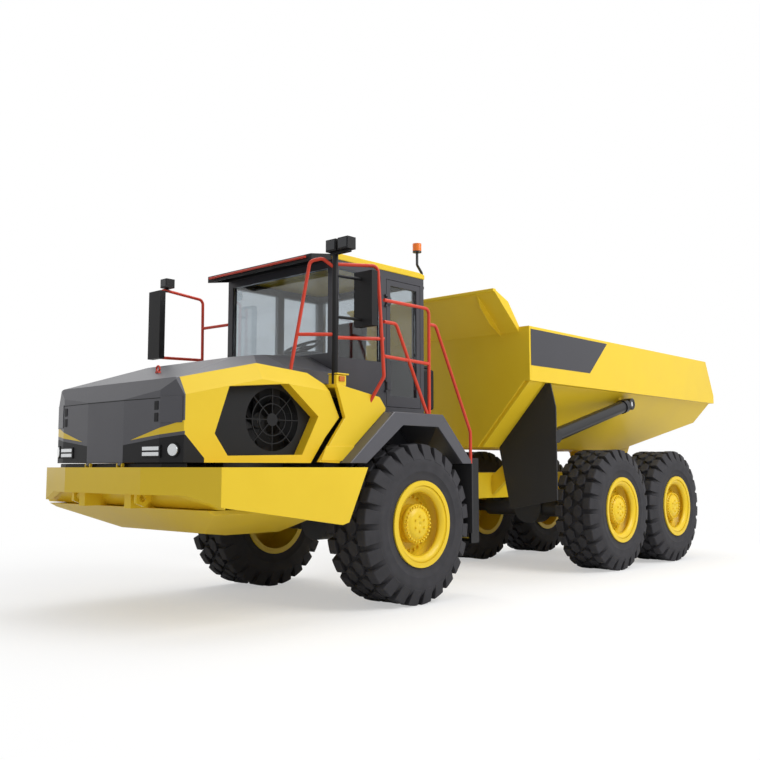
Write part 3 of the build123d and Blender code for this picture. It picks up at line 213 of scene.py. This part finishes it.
def centre_block(x, half_width, half_length):
    """One six-sided block of the tread's middle, with its points towards its neighbours."""
    shape = bmesh.new()
    hexagon = bmesh.ops.create_circle(shape, cap_ends=True, segments=6, radius=1)["verts"]
    bmesh.ops.scale(shape, verts=hexagon, vec=(half_width, half_length, 1))
    root = floor_radius - 0.012
    crown = math.sqrt(tread_radius ** 2 - half_length ** 2) - 0.001
    move(shape, (x, 0, root))
    pull_out(shape, list(shape.faces), (0, 0, crown - root))
    round_edges(shape, 0.006)
    return mesh_of("centre_block", shape)


def add_copies(shape, mesh, count, first_angle):
    """Adds copies of a mesh to a shape, evenly round the X axis."""
    for i in range(count):
        before = len(shape.verts)
        shape.from_mesh(mesh)
        shape.verts.ensure_lookup_table()
        place = Matrix.Rotation(first_angle + i * 2 * math.pi / count, 3, "X")
        bmesh.ops.rotate(shape, verts=shape.verts[before:], cent=(0, 0, 0), matrix=place)


def middle_of(node):
    """The middle of a CAD node's box."""
    low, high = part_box(node)
    return Vector([(a + b) / 2 for a, b in zip(low, high)])


def put(name, shape, material, body):
    """Makes a shape a piece of the truck that moves with a body."""
    mesh = mesh_of(name, shape)
    mesh.materials.append(material)
    piece = bpy.data.objects.new(name, mesh)
    bpy.context.scene.collection.objects.link(piece)
    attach(piece, body)
    return piece


sides = [("left", 1), ("right", -1)]
axles = ["front", "bogie_front", "bogie_rear"]
wheels = [f"{axle}_{side}" for axle in axles for side, sign in sides]
tyre_low, tyre_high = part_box("tyre_front_left")
tread_radius = (tyre_high[2] - tyre_low[2]) / 2
tyre_half = (tyre_high[0] - tyre_low[0]) / 2
lug_count = 24
lug_pitch = 2 * math.pi / lug_count
lug_share = 0.70
groove_depth = 0.046
bead_radius = 0.4065
bead_x = 0.285
floor_radius = tread_radius - groove_depth
half_profile = [
    (bead_x, bead_radius), (bead_x, 0.438), (0.294, 0.470), (0.299, 0.520), (0.303, 0.524),
    (0.303, 0.536), (0.302, 0.545), (0.307, 0.600), (tyre_half - 0.002, 0.635), (0.297, 0.668),
    (0.268, 0.705), (0.240, 0.735), (0.205, 0.750), (0.120, floor_radius), (0.0, floor_radius + 0.002)]
tyre_profile = half_profile + [(-x, r) for x, r in reversed(half_profile[:-1])]
lug_section = [
    (0.156, floor_radius - 0.020), (0.152, tread_radius), (0.244, tread_radius),
    (0.258, tread_radius - 0.004), (0.290, 0.712), (tyre_half - 0.001, 0.645), (0.296, 0.640),
    (0.225, 0.730)]
lug = shoulder_lug(lug_section, lug_pitch * lug_share)
rib = centre_block(0.071, 0.066, 0.088)
rubber = tyre_rubber("tyre_rubber")
for wheel in wheels:
    tyre = lathe(tyre_profile, 96)
    add_copies(tyre, lug, lug_count, lug_pitch / 2)
    add_copies(tyre, rib, lug_count, 0)
    turn(tyre, math.pi, "Z")
    add_copies(tyre, lug, lug_count, 0)
    add_copies(tyre, rib, lug_count, lug_pitch / 2)
    if wheel.endswith("left"):
        turn(tyre, math.pi, "Z")
    move(tyre, middle_of(f"rim_{wheel}"))
    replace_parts(put(f"lugged_tyre_{wheel}", tyre, rubber, f"wheel_{wheel}"), f"tyre_{wheel}")

# Rims: deep-dish steel rims in the frame's yellow, with planetary hubs. Nuts hold the disc, a ring of
# bolts closes the hub, and a few more hold the cover in the middle.
dress([f"rim_{wheel}" for wheel in wheels], yellow_paint)


def hex_bolt(size, depth):
    """A hexagon head on its washer, pointing along X."""
    shape = bmesh.new()
    along = Matrix.Rotation(math.pi / 2, 4, "Y")
    bmesh.ops.create_cone(shape, cap_ends=True, segments=16, radius1=size * 1.35, radius2=size * 1.3,
                          depth=depth * 0.3, matrix=along)
    bmesh.ops.create_cone(shape, cap_ends=True, segments=6, radius1=size, radius2=size * 0.94,
                          depth=depth, matrix=Matrix.Translation((depth * 0.5, 0, 0)) @ along)
    return mesh_of("hex_bolt", shape)


rim_low, rim_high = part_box("rim_front_left")
rim_outer = (rim_high[0] - rim_low[0]) / 2
disc_x = rim_outer - 0.190
hub_x = disc_x + 0.118
cover_x = disc_x + 0.150
# Each ring of bolts: how many, its radius, the face they stand on, and a head's radius and height.
bolt_rings = [(24, 0.272, disc_x, 0.016, 0.026), (28, 0.178, hub_x, 0.013, 0.020),
              (6, 0.075, cover_x, 0.011, 0.012)]
flange_profile = [
    (rim_outer - 0.006, 0.384), (rim_outer - 0.020, 0.352), (rim_outer - 0.040, 0.322),
    (rim_outer - 0.066, 0.312), (rim_outer - 0.072, 0.320), (rim_outer - 0.052, 0.332),
    (rim_outer - 0.036, 0.356), (rim_outer - 0.026, 0.383)]
cover_profile = [
    (disc_x + 0.068, 0.150), (disc_x + 0.068, 0.196), (hub_x, 0.194), (disc_x + 0.120, 0.160),
    (disc_x + 0.136, 0.148), (disc_x + 0.146, 0.110), (cover_x, 0.040), (cover_x, 0.002),
    (disc_x + 0.111, 0.002), (disc_x + 0.111, 0.110)]
for wheel in wheels:
    bolts = lathe(flange_profile, 72)
    bolts.from_mesh(mesh_of("hub_cover", lathe(cover_profile, 48)))
    for count, radius, x, size, depth in bolt_rings:
        bolt = hex_bolt(size, depth)
        bolt.transform(Matrix.Translation((x, 0, radius)))
        add_copies(bolts, bolt, count, 0)
    if wheel.endswith("right"):
        turn(bolts, math.pi, "Z")
    move(bolts, middle_of(f"rim_{wheel}"))
    put(f"hub_bolts_{wheel}", bolts, yellow_paint, f"wheel_{wheel}")

# Cylinders: drawn steel barrels in black paint, and ground rods with hard chrome on them. Both are
# pinned at their ends, and the rods stay bright because the glands wipe them.
cylinders = [f"{kind}_{{}}_{side}" for kind in ("steer", "hoist") for side, sign in sides]
cylinder_paint = machine_paint("cylinder_black_paint", "#1B1B1E", "#151517", 0.3)
dress([name.format("barrel") for name in cylinders], cylinder_paint)


def hard_chrome(name):
    """Chromed rod: a mirror with faint marks, which are drawn coarser than they are so as to show."""
    material, place = new_material(name)
    mark_mm = 14
    marks = noise(material, place, mark_mm, 2.0)
    shader = add_node(material, "ShaderNodeBsdfPrincipled", {
        "Base Color": linear("#D9DADD"), "Metallic": 1.0, "Roughness": spread(material, marks, 0.12, 0.24)})
    return show(material, shader)


chrome = hard_chrome("hard_chrome")
dress([name.format("rod") for name in cylinders], chrome)

# Hoist eyes: the head of each hoist rod is capped by a black forged eye. It is open in the middle,
# where the end of the pin shows.
eye_half = 0.060
eye_radius = 0.075
eye_fit = 0.0005
eye_wall = 0.006
eye_face = eye_half + 0.010
eye_profile = [
    (-eye_half, eye_radius + eye_fit), (-eye_half, eye_radius + eye_wall),
    (eye_half + 0.004, eye_radius + eye_wall), (eye_face, eye_radius - eye_wall), (eye_face, 0.042),
    (eye_half + eye_fit, 0.038), (eye_half + eye_fit, eye_radius + eye_fit)]
for side, sign in sides:
    low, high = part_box(f"hoist_rod_{side}")
    eye = lathe(eye_profile, 40)
    for face in eye.faces:
        face.smooth = False
    if side == "right":
        turn(eye, math.pi, "Z")
    move(eye, ((low[0] + high[0]) / 2, high[1] - eye_radius, high[2] - eye_radius))
    put(f"hoist_eye_{side}", eye, cylinder_paint, f"hoist_rod_{side}")

# Engine and cooler: plain blocks under the hood, which show only through the screen of the fan and
# when the hood is open. They have the axles' grey.
dress(["engine_block", "cooler"], grey_paint)


# Fan: black moulded blades on the cooler's shaft. It draws air through the screen in the hood's
# left side.
def moulded_plastic(name, colour, shade, roughness, gleam):
    """Injection-moulded plastic: even colour with a leathery grain from the mould."""
    material, place = new_material(name)
    cloud_mm, grain_mm = 300, 5
    cloud = noise(material, place, cloud_mm, 3.0)
    grain = add_node(material, "ShaderNodeTexVoronoi", {"Vector": place, "Scale": 1000 / grain_mm})
    shader = add_node(material, "ShaderNodeBsdfPrincipled", {
        "Base Color": blend(material, cloud, shade, colour),
        "Normal": relief(material, grain.outputs["Distance"], 0.12, 0.002),
        "Roughness": roughness, "Specular IOR Level": gleam})
    return show(material, shader)


black_plastic = moulded_plastic("black_moulded_plastic", "#18181A", "#121214", 0.5, 0.25)
dress(["cooling_fan"], black_plastic)


# Bumper and belly pan: folded and welded plate in the frame's yellow. The edges of folded plate are
# rounded by a few millimetres, so they catch the light.
def soften(names, width):
    """Rounds the edges of CAD nodes as they are shown."""
    for name in names:
        weld = nodes[name].modifiers.new("weld", "WELD")
        weld.merge_threshold = 0.0002
        edge = nodes[name].modifiers.new("edge", "BEVEL")
        edge.width = width
        edge.segments = 2
        edge.limit_method = "ANGLE"
        edge.angle_limit = math.radians(30)


plate_edge = 0.006
moulded_edge = 0.008
dress(["front_bumper", "belly_pan"], yellow_paint)
soften(["front_bumper", "belly_pan"], plate_edge)

# Hood: yellow sides with a six-sided opening, under a dark moulded top and nose. The lamp housings
# wrap round the nose's corners, a screen closes the opening, and a seal lies along the bumper.
charcoal_plastic = moulded_plastic("charcoal_moulded_plastic", "#505056", "#48484E", 0.38, 0.5)
dress(["hood_sides"], yellow_paint)
dress(["hood_top"], charcoal_plastic)
dress(["headlamps", "fan_guards"], black_plastic)
soften(["hood_top", "hood_sides", "headlamps"], plate_edge)
axle_y = middle_of("rim_front_left")[1]


def from_axle(x, y, z):
    """A place whose y is measured from the front axle."""
    return x, axle_y + y, z


def add_block(shape, middle, size, angle=0.0):
    """Adds a box by its middle and size, turned about Z."""
    made = bmesh.ops.create_cube(shape, size=1)["verts"]
    bmesh.ops.scale(shape, verts=made, vec=size)
    bmesh.ops.rotate(shape, verts=made, cent=(0, 0, 0), matrix=Matrix.Rotation(angle, 3, "Z"))
    bmesh.ops.translate(shape, verts=made, vec=middle)


def add_disc(shape, middle, radius, depth, angle):
    """Adds a round disc that faces -Y, turned about Z."""
    faced = Matrix.Rotation(angle, 4, "Z") @ Matrix.Rotation(math.pi / 2, 4, "X")
    bmesh.ops.create_cone(shape, cap_ends=True, segments=36, radius1=radius, radius2=radius, depth=depth,
                          matrix=Matrix.Translation(middle) @ faced)


def on_nose(plane, along, out, z, sign):
    """A point a distance along a plane of the nose and out of it, on the left or the right."""
    (x0, y0), (x1, y1) = plane
    run = Vector((x1 - x0, y1 - y0)).normalized()
    spot = Vector((x0, y0)) + run * along + Vector((run.y, -run.x)) * out
    return from_axle(sign * spot.x, spot.y, z)


def nose_angle(plane, sign):
    """How far a plane of the nose is turned from the truck's cross direction."""
    (x0, y0), (x1, y1) = plane
    return sign * math.atan2(y1 - y0, x1 - x0)


def clear_lens(name):
    """Hard-coated polycarbonate over a bright reflector, moulded with small upright flutes."""
    material, place = new_material(name)
    flute_mm = 12
    wave_factor = 20
    sockets = {"Vector": place, "Scale": 1000 / flute_mm / wave_factor}
    flutes = add_node(material, "ShaderNodeTexWave", sockets)
    shader = add_node(material, "ShaderNodeBsdfPrincipled", {
        "Base Color": linear("#DDE0E2"), "Normal": relief(material, flutes.outputs["Fac"], 0.3, 0.003),
        "Metallic": 0.5, "Roughness": 0.16, "Coat Weight": 1.0, "Coat Roughness": 0.03})
    return show(material, shader)


nose_half = 0.300
nose_y = -2.734
nose_flat = ((nose_half, nose_y), (0.800, -2.700))
nose_corner = ((0.800, -2.700), (1.040, -2.625))
low_lamp_z = 1.505
lens_rise = 0.023
low_lens = (0.220, 0.014, 0.032)
round_lamp_z = 1.515
vent_z = 1.852
slot_size = (0.050, 0.008, 0.075)
seam_z = 1.952
seam_deep, seam_high = 0.006, 0.007
seal_z = 1.387
seal_back = 0.040
seal_deep, seal_high = 0.014, 0.034
lamp_lens = clear_lens("clear_polycarbonate")
lamp_bezel, lamp_glass, vent, slots, seal = (bmesh.new() for i in range(5))
# Each box on the nose: its shape and plane, how far along and out it is, its height, and its size.
nose_boxes = [
    (lamp_bezel, nose_flat, 0.400, 0.004, low_lamp_z, (0.250, 0.012, 0.105)),
    (lamp_glass, nose_flat, 0.400, 0.008, low_lamp_z - lens_rise, low_lens),
    (lamp_glass, nose_flat, 0.400, 0.008, low_lamp_z + lens_rise, low_lens),
    (vent, nose_corner, 0.122, 0.002, vent_z, (0.225, 0.010, 0.220)),
    (slots, nose_flat, 0.455, 0.001, 1.790, slot_size),
    (slots, nose_flat, 0.455, 0.001, 1.890, slot_size),
    (slots, nose_flat, 0.251, 0.0, seam_z, (0.500, seam_deep, seam_high)),
    (seal, nose_flat, 0.251, -seal_back, seal_z, (0.510, seal_deep, seal_high)),
    (seal, nose_corner, 0.126, -seal_back, seal_z, (0.260, seal_deep, seal_high))]
# The round lamp's discs: the shape, how far out it is, its radius and its depth.
round_lamp = [(lamp_bezel, 0.004, 0.062, 0.014), (lamp_glass, 0.009, 0.050, 0.016)]
for side, sign in sides:
    for shape, plane, along, out, z, size in nose_boxes:
        add_block(shape, on_nose(plane, along, out, z, sign), size, nose_angle(plane, sign))
    for shape, out, radius, depth in round_lamp:
        add_disc(shape, on_nose(nose_corner, 0.150, out, round_lamp_z, sign), radius, depth,
                 nose_angle(nose_corner, sign))
add_block(slots, from_axle(0, nose_y, seam_z), (2 * nose_half, seam_deep, seam_high))
add_block(seal, from_axle(0, nose_y + seal_back, seal_z), (2 * nose_half, seal_deep, seal_high))
for shape in (lamp_bezel, lamp_glass, vent, slots, seal):
    round_edges(shape, 0.002)
put("headlamp_bezels", lamp_bezel, black_plastic, "hood")
put("headlamp_lenses", lamp_glass, lamp_lens, "hood")
put("nose_panels", vent, charcoal_plastic, "hood")
put("nose_slots", slots, black_plastic, "hood")
put("bumper_seal", seal, black_plastic, "tractor")

# Cab: a welded charcoal shell on its base, with a yellow roof, a dark visor and tinted glass. The
# cowl and fenders beside it are moulded, and the ladder behind the wheel is black steel.
charcoal_paint = machine_paint("charcoal_paint", "#434349", "#3B3B40", 0.42)
dress(["cab_base", "cab_frame", "cab_door"], charcoal_paint)
dress(["access_ladder"], cylinder_paint)
dress(["cab_roof"], yellow_paint)
dress(["cowl", "fenders"], charcoal_plastic)
dress(["sun_visor", "mirrors"], black_plastic)
soften(["cab_frame", "cab_roof", "sun_visor", "fenders", "mirrors", "cowl"], moulded_edge)


def tinted_glass(name):
    """Grey laminated glass with a faint film of dust."""
    material, place = new_material(name)
    film_mm = 250
    film = noise(material, place, film_mm, 5.0)
    shader = add_node(material, "ShaderNodeBsdfPrincipled", {
        "Base Color": linear("#CCD2D6"), "Roughness": spread(material, film, 0.0, 0.08), "IOR": 1.5,
        "Transmission Weight": 1.0})
    return show(material, shader)


glass = tinted_glass("tinted_laminated_glass")
dress(["cab_glass", "cab_door_glass"], glass)


# Driver's place: a console with the steering wheel, and a seat with two foam cushions in grey cloth.
# The cushions are crowned, and their sides pull in between the corners.
def seat_cloth(name):
    """Woven polyester: a fine cross weave, drawn coarser than its 1 mm threads so that it shows."""
    material, place = new_material(name)
    weave_mm = 8
    weave = add_node(material, "ShaderNodeTexChecker", {
        "Vector": place, "Scale": 1000 / weave_mm, "Color1": linear("#4C4D52"),
        "Color2": linear("#3B3C41")})
    shader = add_node(material, "ShaderNodeBsdfPrincipled", {
        "Base Color": weave.outputs["Color"], "Normal": relief(material, weave.outputs["Fac"], 0.3, 0.002),
        "Roughness": 0.9, "Sheen Weight": 0.3})
    return show(material, shader)


def blocks(rounding, *boxes):
    """Boxes by middle and size, as one shape with rounded edges."""
    shape = bmesh.new()
    for middle, size in boxes:
        add_block(shape, middle, size)
    round_edges(shape, rounding)
    return shape


def bent_ring(radius, bar_radius, segments, steps):
    """A round bar bent into a closed ring about Z."""
    shape = bmesh.new()
    start = Matrix.Translation((radius, 0, 0)) @ Matrix.Rotation(math.pi / 2, 4, "X")
    bmesh.ops.create_circle(shape, segments=segments, radius=bar_radius, matrix=start)
    bmesh.ops.spin(shape, geom=[*shape.verts, *shape.edges], cent=(0, 0, 0), axis=(0, 0, 1),
                   angle=2 * math.pi, steps=steps, use_merge=True)
    bmesh.ops.recalc_face_normals(shape, faces=shape.faces)
    return shape


def cushion(name, middle, size, tilt):
    """A crowned pad: a box divided finely, puffed out in the middle of its faces and smoothed."""
    shape = bmesh.new()
    bmesh.ops.create_cube(shape, size=1)
    bmesh.ops.subdivide_edges(shape, edges=shape.edges, cuts=9, use_grid_fill=True)
    for vert in shape.verts:
        x, y, z = vert.co
        across, along = 1 - 4 * x * x, 1 - 4 * y * y
        pinch = 0.95 + 0.05 * (1 - 0.05 * across - 0.05 * along)
        vert.co = Vector((x * pinch, y * pinch, z * (0.80 + 0.20 * across * along)))
    for i in range(2):
        bmesh.ops.smooth_vert(shape, verts=shape.verts, factor=0.5, use_axis_x=True, use_axis_y=True,
                              use_axis_z=True)
    for face in shape.faces:
        face.smooth = True
    bmesh.ops.scale(shape, verts=shape.verts, vec=size)
    turn(shape, tilt, "X")
    move(shape, middle)
    put(name, shape, cloth, "tractor")


inside_low, inside_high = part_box("cab_interior")
deck_z = inside_low[2]
seat_y = 0.110
console = blocks(0.020,
                 (from_axle(0, -0.515, deck_z + 0.280), (1.020, 0.240, 0.550)),
                 (from_axle(0, -0.480, deck_z + 0.575), (0.760, 0.170, 0.050)),
                 (from_axle(0, seat_y, deck_z + 0.160), (0.420, 0.420, 0.310)))
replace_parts(put("driver_console", console, charcoal_plastic, "tractor"), "cab_interior")
spoke_middle = 0.095
spoke_turn = 2.094
steering_wheel = bent_ring(0.200, 0.016, 12, 48)
for i in range(3):
    angle = i * spoke_turn
    middle = (spoke_middle * math.cos(angle), spoke_middle * math.sin(angle), 0)
    add_block(steering_wheel, middle, (2 * spoke_middle, 0.030, 0.014), angle)
bmesh.ops.create_cone(steering_wheel, cap_ends=True, segments=24, radius1=0.050, radius2=0.040,
                      depth=0.200, matrix=Matrix.Translation((0, 0, -0.090)))
turn(steering_wheel, math.radians(25), "X")
move(steering_wheel, from_axle(0, -0.350, deck_z + 0.690))
put("steering_wheel", steering_wheel, black_plastic, "tractor")
cloth = seat_cloth("woven_seat_cloth")
cushion("seat_cushion", from_axle(0, seat_y, deck_z + 0.395), (0.500, 0.500, 0.150), 0.0)
cushion("seat_back", from_axle(0, 0.365, deck_z + 0.750), (0.480, 0.580, 0.120), math.radians(86))


# Deck panels, flaps and rails: folded yellow plate between the hood and the fenders, with a raised
# service hatch. The flaps are cut from sheet rubber, and the rails are bent tube in signal red.
def side_plate(corners, x, thickness, sign):
    """A flat plate on a side of the truck, from corners of (y, z) with y from the front axle."""
    shape = bmesh.new()
    face = shape.faces.new([shape.verts.new(from_axle(sign * x, y, z)) for y, z in corners])
    pull_out(shape, [face], (sign * thickness, 0, 0))
    return shape


dress(["deck_panels"], yellow_paint)
soften(["deck_panels"], plate_edge)
panel_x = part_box("deck_panels")[1][0]
hatch_thickness = 0.008
hatch_corners = [(-1.207, 1.566), (-0.837, 1.572), (-0.911, 1.430), (-1.273, 1.430)]
for side, sign in sides:
    hatch = side_plate(hatch_corners, panel_x, hatch_thickness, sign)
    round_edges(hatch, 0.004)
    put(f"service_hatch_{side}", hatch, yellow_paint, "tractor")


def sheet_rubber(name):
    """Black sheet rubber with the faint weave of its press cloth."""
    material, place = new_material(name)
    weave_mm = 12
    weave = noise(material, place, weave_mm, 3.0)
    shader = add_node(material, "ShaderNodeBsdfPrincipled", {
        "Base Color": blend(material, weave, "#1E1E20", "#2A2A2D"),
        "Normal": relief(material, weave, 0.2, 0.002), "Roughness": 0.7})
    return show(material, shader)


flap_rubber = sheet_rubber("black_sheet_rubber")
dress(["front_mud_flaps", "mud_flaps"], flap_rubber)
rail_red = machine_paint("signal_red_paint", "#D8452F", "#C93C28", 0.4)
dress(["handrails"], rail_red)

# Post foot: a folded yellow bracket clamps the mirror post to the deck panel. A moulded air box hangs
# on the cab's back wall.
post_foot = blocks(0.005,
                   (from_axle(1.195, -1.000, 2.190), (0.110, 0.130, 0.100)),
                   (from_axle(1.195, -0.985, 2.252), (0.130, 0.160, 0.014)))
put("post_foot", post_foot, yellow_paint, "tractor")
air_box = blocks(0.030,
                 (from_axle(0.720, 0.801, 2.240), (0.240, 0.200, 0.460)),
                 (from_axle(0.720, 0.805, 2.490), (0.160, 0.120, 0.060)))
put("air_box", air_box, black_plastic, "tractor")

# Lifting eye: a forged steel ring in signal red. Its foot is screwed into the hood's top, left of the
# middle.
eye_ring = 0.026
lifting_eye = bent_ring(eye_ring, 0.009, 10, 28)
turn(lifting_eye, math.pi / 2, "X")
add_block(lifting_eye, (0, 0, -eye_ring - 0.006), (0.050, 0.030, 0.018))
move(lifting_eye, from_axle(0.158, -2.300, 2.276))
put("lifting_eye", lifting_eye, rail_red, "hood")

# Visor rail: a grab tube of painted steel along the visor's front edge. Four brackets hold it.
visor_low, visor_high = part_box("sun_visor")
rail_y = visor_low[1] - 0.022
rail_z = visor_high[2] - 0.075
rail_radius = 0.012
rail_length = 1.560
bracket_count = 4
bracket_pitch = 0.480
visor_rail = bmesh.new()
along_rail = Matrix.Translation((0, rail_y, rail_z)) @ Matrix.Rotation(math.pi / 2, 4, "Y")
bmesh.ops.create_cone(visor_rail, cap_ends=True, segments=16, radius1=rail_radius, radius2=rail_radius,
                      depth=rail_length, matrix=along_rail)
for i in range(bracket_count):
    x = bracket_pitch * (i - (bracket_count - 1) / 2)
    add_block(visor_rail, (x, rail_y + rail_radius, rail_z), (0.026, 0.026, 0.020))
put("visor_rail", visor_rail, rail_red, "tractor")

# Lamps and mirrors: moulded black housings with smoked lenses, and silvered mirror glass. A red pair
# is set in the tail, an amber marker on the post's foot and an amber beacon on a black pole.
dress(["work_lamps"], black_plastic)
soften(["work_lamps"], moulded_edge)
left_lens = (0.112, 0.010, 0.092)
lenses = blocks(0.003,
                (from_axle(1.1975, -1.102, 3.4829), left_lens),
                (from_axle(1.3575, -1.102, 3.4829), left_lens),
                (from_axle(-1.370, -1.241, 3.450), (0.098, 0.008, 0.080)))
smoked_lens = machine_paint("smoked_polycarbonate", "#3C3E42", "#34363A", 0.16)
put("work_lamp_lenses", lenses, smoked_lens, "tractor")
mirror_glass = blocks(0.002,
                      (from_axle(1.300, -0.679, 3.000), (0.210, 0.006, 0.500)),
                      (from_axle(-1.320, -1.314, 2.950), (0.190, 0.006, 0.700)))
put("mirror_glass", mirror_glass, chrome, "tractor")
prism_mm = 16


def prisms(material, place, strength):
    """The moulded prisms on a lens's inside."""
    checks = add_node(material, "ShaderNodeTexChecker", {"Vector": place, "Scale": 1000 / prism_mm})
    return relief(material, checks.outputs["Fac"], strength, 0.002)


def tinted_lens(name, colour):
    """Clear acrylic tinted through, with prisms that break up the light."""
    material, place = new_material(name)
    shader = add_node(material, "ShaderNodeBsdfPrincipled", {
        "Base Color": linear(colour), "Normal": prisms(material, place, 0.2), "Roughness": 0.18,
        "IOR": 1.49, "Transmission Weight": 0.35})
    return show(material, shader)


def beacon_finish(name, lens_z):
    """Amber acrylic above a height, black painted tube below it."""
    material, place = new_material(name)
    height = add_node(material, "ShaderNodeSeparateXYZ", {"Vector": place}).outputs["Z"]
    above = add_node(material, "ShaderNodeMath", {0: height, 1: lens_z}, operation="GREATER_THAN")
    shader = add_node(material, "ShaderNodeBsdfPrincipled", {
        "Base Color": blend(material, above.outputs[0], "#1A1A1C", "#F07A16"),
        "Normal": prisms(material, place, 0.1), "Roughness": 0.25})
    return show(material, shader)


red_lens = tinted_lens("red_acrylic", "#B01818")
amber_lens = tinted_lens("amber_acrylic", "#E8821E")
dress(["tail_lamps"], red_lens)
marker = blocks(0.005, (from_axle(1.256, -1.000, 2.205), (0.016, 0.070, 0.050)))
put("marker_lamp", marker, amber_lens, "tractor")
beacon_lens_height = 0.085
dress(["beacon"], beacon_finish("amber_beacon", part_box("beacon")[1][2] - beacon_lens_height))

# Bed: welded plate sides on a folded floor, with a front wall and a spill guard. A dark painted
# stripe fills the front of each upright band, and stays blank.
bed_walls = ["bed_side_left", "bed_side_right", "bed_front_wall"]
dress(["bed_floor", *bed_walls], yellow_paint)
soften(bed_walls, moulded_edge)
stripe_corners = [(2.100, 3.025), (3.955, 3.025), (3.484, 2.592), (2.100, 2.585)]
band_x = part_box("bed_side_left")[1][0]
stripe_thickness = 0.002
for side, sign in sides:
    stripe = side_plate(stripe_corners, band_x, stripe_thickness, sign)
    put(f"bed_stripe_{side}", stripe, charcoal_paint, "bed")


# Studio: a pale floor that turns white away from the truck, an even white surround and two soft lamps,
# one high on the truck's left and one above it.
def studio_floor(name, near, far):
    """Matt white near the truck, where it takes the shadow, and as bright as the surround far off.
    The camera sees that white, also through glass. The truck is lit by, and mirrors, a pale grey."""
    material, place = new_material(name)
    reach = add_node(material, "ShaderNodeVectorMath", {0: place}, operation="LENGTH")
    fade = add_node(material, "ShaderNodeMapRange", {
        "Value": reach.outputs["Value"], "From Min": near, "From Max": far, "To Min": 0.45},
        interpolation_type="SMOOTHSTEP")
    matt = add_node(material, "ShaderNodeBsdfDiffuse", {"Color": linear("#FFFFFF")})
    bright = add_node(material, "ShaderNodeEmission", {"Color": linear("#FFFFFF"), "Strength": 1.0})
    white = add_node(material, "ShaderNodeMixShader", {
        0: fade.outputs[0], 1: matt.outputs[0], 2: bright.outputs[0]})
    grey = add_node(material, "ShaderNodeBsdfDiffuse", {"Color": linear("#DCDCDC")})
    ray = add_node(material, "ShaderNodeLightPath", {}).outputs
    seen = add_node(material, "ShaderNodeMath", {
        0: ray["Is Camera Ray"], 1: ray["Is Transmission Ray"]}, operation="MAXIMUM")
    return show(material, add_node(material, "ShaderNodeMixShader", {
        0: seen.outputs[0], 1: grey.outputs[0], 2: white.outputs[0]}))


floor_shape = bmesh.new()
bmesh.ops.create_grid(floor_shape, x_segments=1, y_segments=1, size=120)
floor = bpy.data.objects.new("floor", mesh_of("floor", floor_shape))
floor.data.materials.append(studio_floor("matt_white_floor", 4.0, 9.0))
bpy.context.scene.collection.objects.link(floor)

# The surround is white where it is seen, mirrored or looked at through glass, and lights at half that.
world = bpy.data.worlds.new("white_surround")
world.use_nodes = True
bpy.context.scene.world = world
ray = add_node(world, "ShaderNodeLightPath", {}).outputs
direct = add_node(world, "ShaderNodeMath", {0: ray["Is Camera Ray"], 1: ray["Is Transmission Ray"]},
                  operation="MAXIMUM")
seen = add_node(world, "ShaderNodeMath", {0: direct.outputs[0], 1: ray["Is Glossy Ray"]},
                operation="MAXIMUM")
surround = world.node_tree.nodes["Background"]
surround.inputs["Color"].default_value = linear("#FFFFFF")
lit_strength, seen_strength = 0.5, 1.0
strength = spread(world, seen.outputs[0], lit_strength, seen_strength)
world.node_tree.links.new(strength, surround.inputs["Strength"])


def soft_lamp(name, place, size, power):
    """A square area lamp that faces the middle of the truck."""
    lamp = bpy.data.lights.new(name, "AREA")
    lamp.size = size
    lamp.energy = power
    holder = bpy.data.objects.new(name, lamp)
    middle = Vector((0, 0, 1.4))
    holder.location = place
    holder.rotation_euler = (middle - Vector(place)).to_track_quat("-Z", "Y").to_euler()
    bpy.context.scene.collection.objects.link(holder)


soft_lamp("key_lamp", (12, 2, 11), 9, 1450)
soft_lamp("top_lamp", (-2, 2, 15), 12, 1100)

# Camera: its place and lens were found by fitting the wheels and edges of the photograph, which is
# square. It stands low, ahead of the truck and on its left.
camera_data = bpy.data.cameras.new("camera")
camera_data.sensor_width = 36
camera_data.lens = 42.97
camera = bpy.data.objects.new("camera", camera_data)
camera.location = (7.3005, -9.39, 1.3711)
camera.rotation_euler = (math.radians(95.493), 0, math.radians(42.557))
bpy.context.scene.collection.objects.link(camera)
bpy.context.scene.camera = camera
bpy.context.scene.view_settings.view_transform = "Standard"
